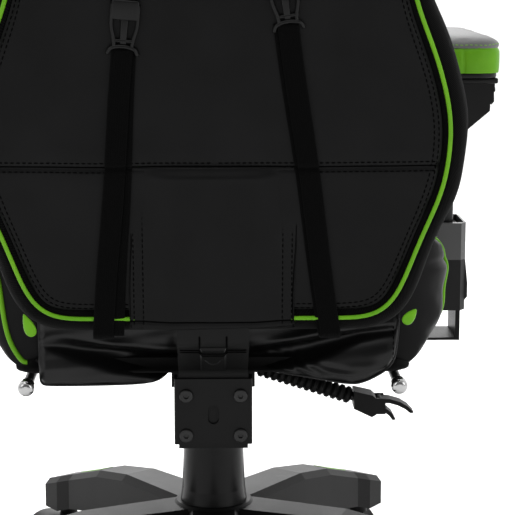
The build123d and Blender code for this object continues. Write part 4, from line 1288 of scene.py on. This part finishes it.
def makeSeatStitches():
    bm = bmesh.new()
    tree = surfaceOf(seatPad)
    for seam in seatSeams["across"]:
        for gap in (-0.0075, 0.0075):
            places, normals = snapTo(tree, [(x, seam + gap, 0.470) for x in np.linspace(-0.120, 0.120, 90)], 0.0002)
            addStitches(bm, places, normals, stitchValues)
    for line in (-0.1365, 0.1365):
        places, normals = snapTo(tree, [(line, y, 0.470) for y in np.linspace(0.130, -0.270, 140)], 0.0002)
        addStitches(bm, places, normals, stitchValues)
    for offset in (0.0045,):
        z = np.linspace(0.358, 0.400, 40)
        x = -0.1885 + offset + 0 * z
        path = np.stack([x, coverValues["plane"] + coverDepth(x, z) + 0.0002, z], 1)
        addStitches(bm, path, np.repeat(np.array([[0.0, 1.0, 0.0]]), len(z), 0), stitchValues)
    addPiece("seatStitching", bm, "seat", "threadAndPaintedShade")


print("seat")
makeSeatCover()
addPiece("seatUnderside", makeUnderside(), "seat", "dustCloth")
makeWelts()
makeSeatStitches()

# arm hardware seen beside the back, and near-black beads on the back spine that paint the shade along its bend and rib
# edges, with a dent

armFittings = {"lip": 0.002, "screwRadius": 0.0032, "screwInset": 0.016}


def makeArmFittings(side, body):
    low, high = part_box("arm_sleeve_" + ("left" if side > 0 else "right"))
    bm = bmesh.new()
    lip = 2 * armFittings["lip"]
    collar = roundedBlock((high[0] - low[0] + lip, high[1] - low[1] + lip, 0.006), 0.0018)
    joinInto(bm, collar, Matrix.Translation(((low[0] + high[0]) / 2, (low[1] + high[1]) / 2, high[2] - 0.0034)))
    outer = high[0] if side > 0 else low[0]
    for y in (low[1] + armFittings["screwInset"], high[1] - armFittings["screwInset"]):
        head = bmesh.new()
        bmesh.ops.create_cone(head, cap_ends=True, segments=20, radius1=armFittings["screwRadius"],
                              radius2=armFittings["screwRadius"] * 0.8, depth=0.0016)
        turn = Matrix.Rotation(math.pi / 2 * side, 4, "Y")
        joinInto(bm, head, Matrix.Translation((outer + side * 0.0006, y, high[2] - 0.014)) @ turn)
    addPiece("armCollar" + ("Left" if side > 0 else "Right"), bm, body, "armPlastic")


spineMarks = {"halfWide": 0.034, "edgeGap": 0.0012, "crease": 0.3870, "ribHalf": 0.0132, "ribTop": 0.4060,
              "dent": 0.3700, "bead": 0.0009}


def spinePlace(x, z):  # the spine's rear face
    place, _, _, _ = surfaceOf(cadNodes["back_spine"]).ray_cast(Vector((x, 0.5, z)), Vector((0, -1, 0)))
    return place.y


def spineLine(bm, corners, radius):
    path = resample(np.array(corners, float), 24)
    depth = [spinePlace(x, z) for x, z in path]
    joinInto(bm, tubeAlong(np.stack([path[:, 0], depth, path[:, 1]], 1), radius, sides=8))


def makeSpineMarks():
    values = spineMarks
    half = min(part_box("back_spine")[1][0], values["halfWide"]) - values["edgeGap"]
    rib = values["ribHalf"]
    # near-black beads along the spine's bend and its rib edges: painted shade where the pressed steel folds
    bendShadeBeads = bmesh.new()
    for lift in (0.0, 0.0030):
        high = values["crease"] + lift
        spineLine(bendShadeBeads, [(-half, high), (-rib, high), (-rib * 0.8, high - 0.004), (rib * 0.8, high - 0.004),
                            (rib, high), (half, high)], values["bead"])
    for side in (-1, 1):
        spineLine(bendShadeBeads, [(side * rib, values["crease"] + 0.004), (side * rib, values["ribTop"])], values["bead"])
    addPiece("spineBendPaintedShade", bendShadeBeads, "back", "threadAndPaintedShade")
    dent = bmesh.new()
    for side in (-1, 1):
        spineLine(dent, [(side * 0.0085, values["dent"] + 0.0065), (side * 0.0045, values["dent"] + 0.0015),
                         (0, values["dent"])], values["bead"])
    addPiece("spineDent", dent, "back", "powderCoat")


print("fittings")
makeArmFittings(1, "arm_left")
makeArmFittings(-1, "arm_right")
makeSpineMarks()

# finishes of the parts that come straight from the frame

partFinishes = {
    "nylon": ["base_star", "caster_hood_1", "caster_hood_2", "caster_hood_3", "caster_hood_4", "caster_hood_5"],
    "greenInlay": ["base_inlays"],
    "zinc": ["caster_stems", "lift_rod"],
    "tubeBlack": ["lift_tube", "lever_tube", "footrest_rods"],
    "naturalNylon": ["lift_bush"],
    "chrome": ["rod_caps", "gas_cylinder", "pivot_pin", "lift_bearing"],
    "coverPlastic": ["column_cover_lower", "column_cover_middle", "column_cover_upper", "footrest_guides",
                     "release_pin"],
    "dustCloth": ["seat_board"],
    "powderCoat": ["mechanism_tray", "back_bracket", "back_spine", "arm_brackets", "footrest_plate", "back_frame"],
    "boltBlack": ["back_bolts", "seat_screws"],
    "rubberGrip": ["lever_bellows", "lift_paddle", "recline_paddle", "lever_block"],
    # the upper shrouds take the lighter grey of painted light; they are the same black plastic as the lower ones
    "armPlasticPaintedLight": ["arm_shrouds_upper"],
    "armPlastic": ["arm_shrouds_lower", "arm_sleeve_left", "arm_sleeve_right", "arm_release_left",
                   "arm_release_right"],
    "panelPu": ["seat_pad", "seat_bolsters", "lumbar_pillow", "head_pillow", "footrest_cushion", "arm_pad_left",
                "arm_pad_right", "back_bolsters", "back_foam", "back_flap", "back_straps", "strap_buckles"],
    "wheelPlastic": ["caster_wheels_1", "caster_wheels_2", "caster_wheels_3", "caster_wheels_4", "caster_wheels_5"],
}


def finishParts():
    for finish, names in partFinishes.items():
        for name in names:
            slots = cadNodes[name].material_slots
            if not slots:
                cadNodes[name].data.materials.append(materials[finish])
            for slot in slots:
                slot.material = materials[finish]
    for name in ("arm_post_left", "arm_post_right"):
        for slot in cadNodes[name].material_slots:
            slot.material = materials["tubeBlack"]


print("finishes")
finishParts()
addStage()
addCamera()
print("done")
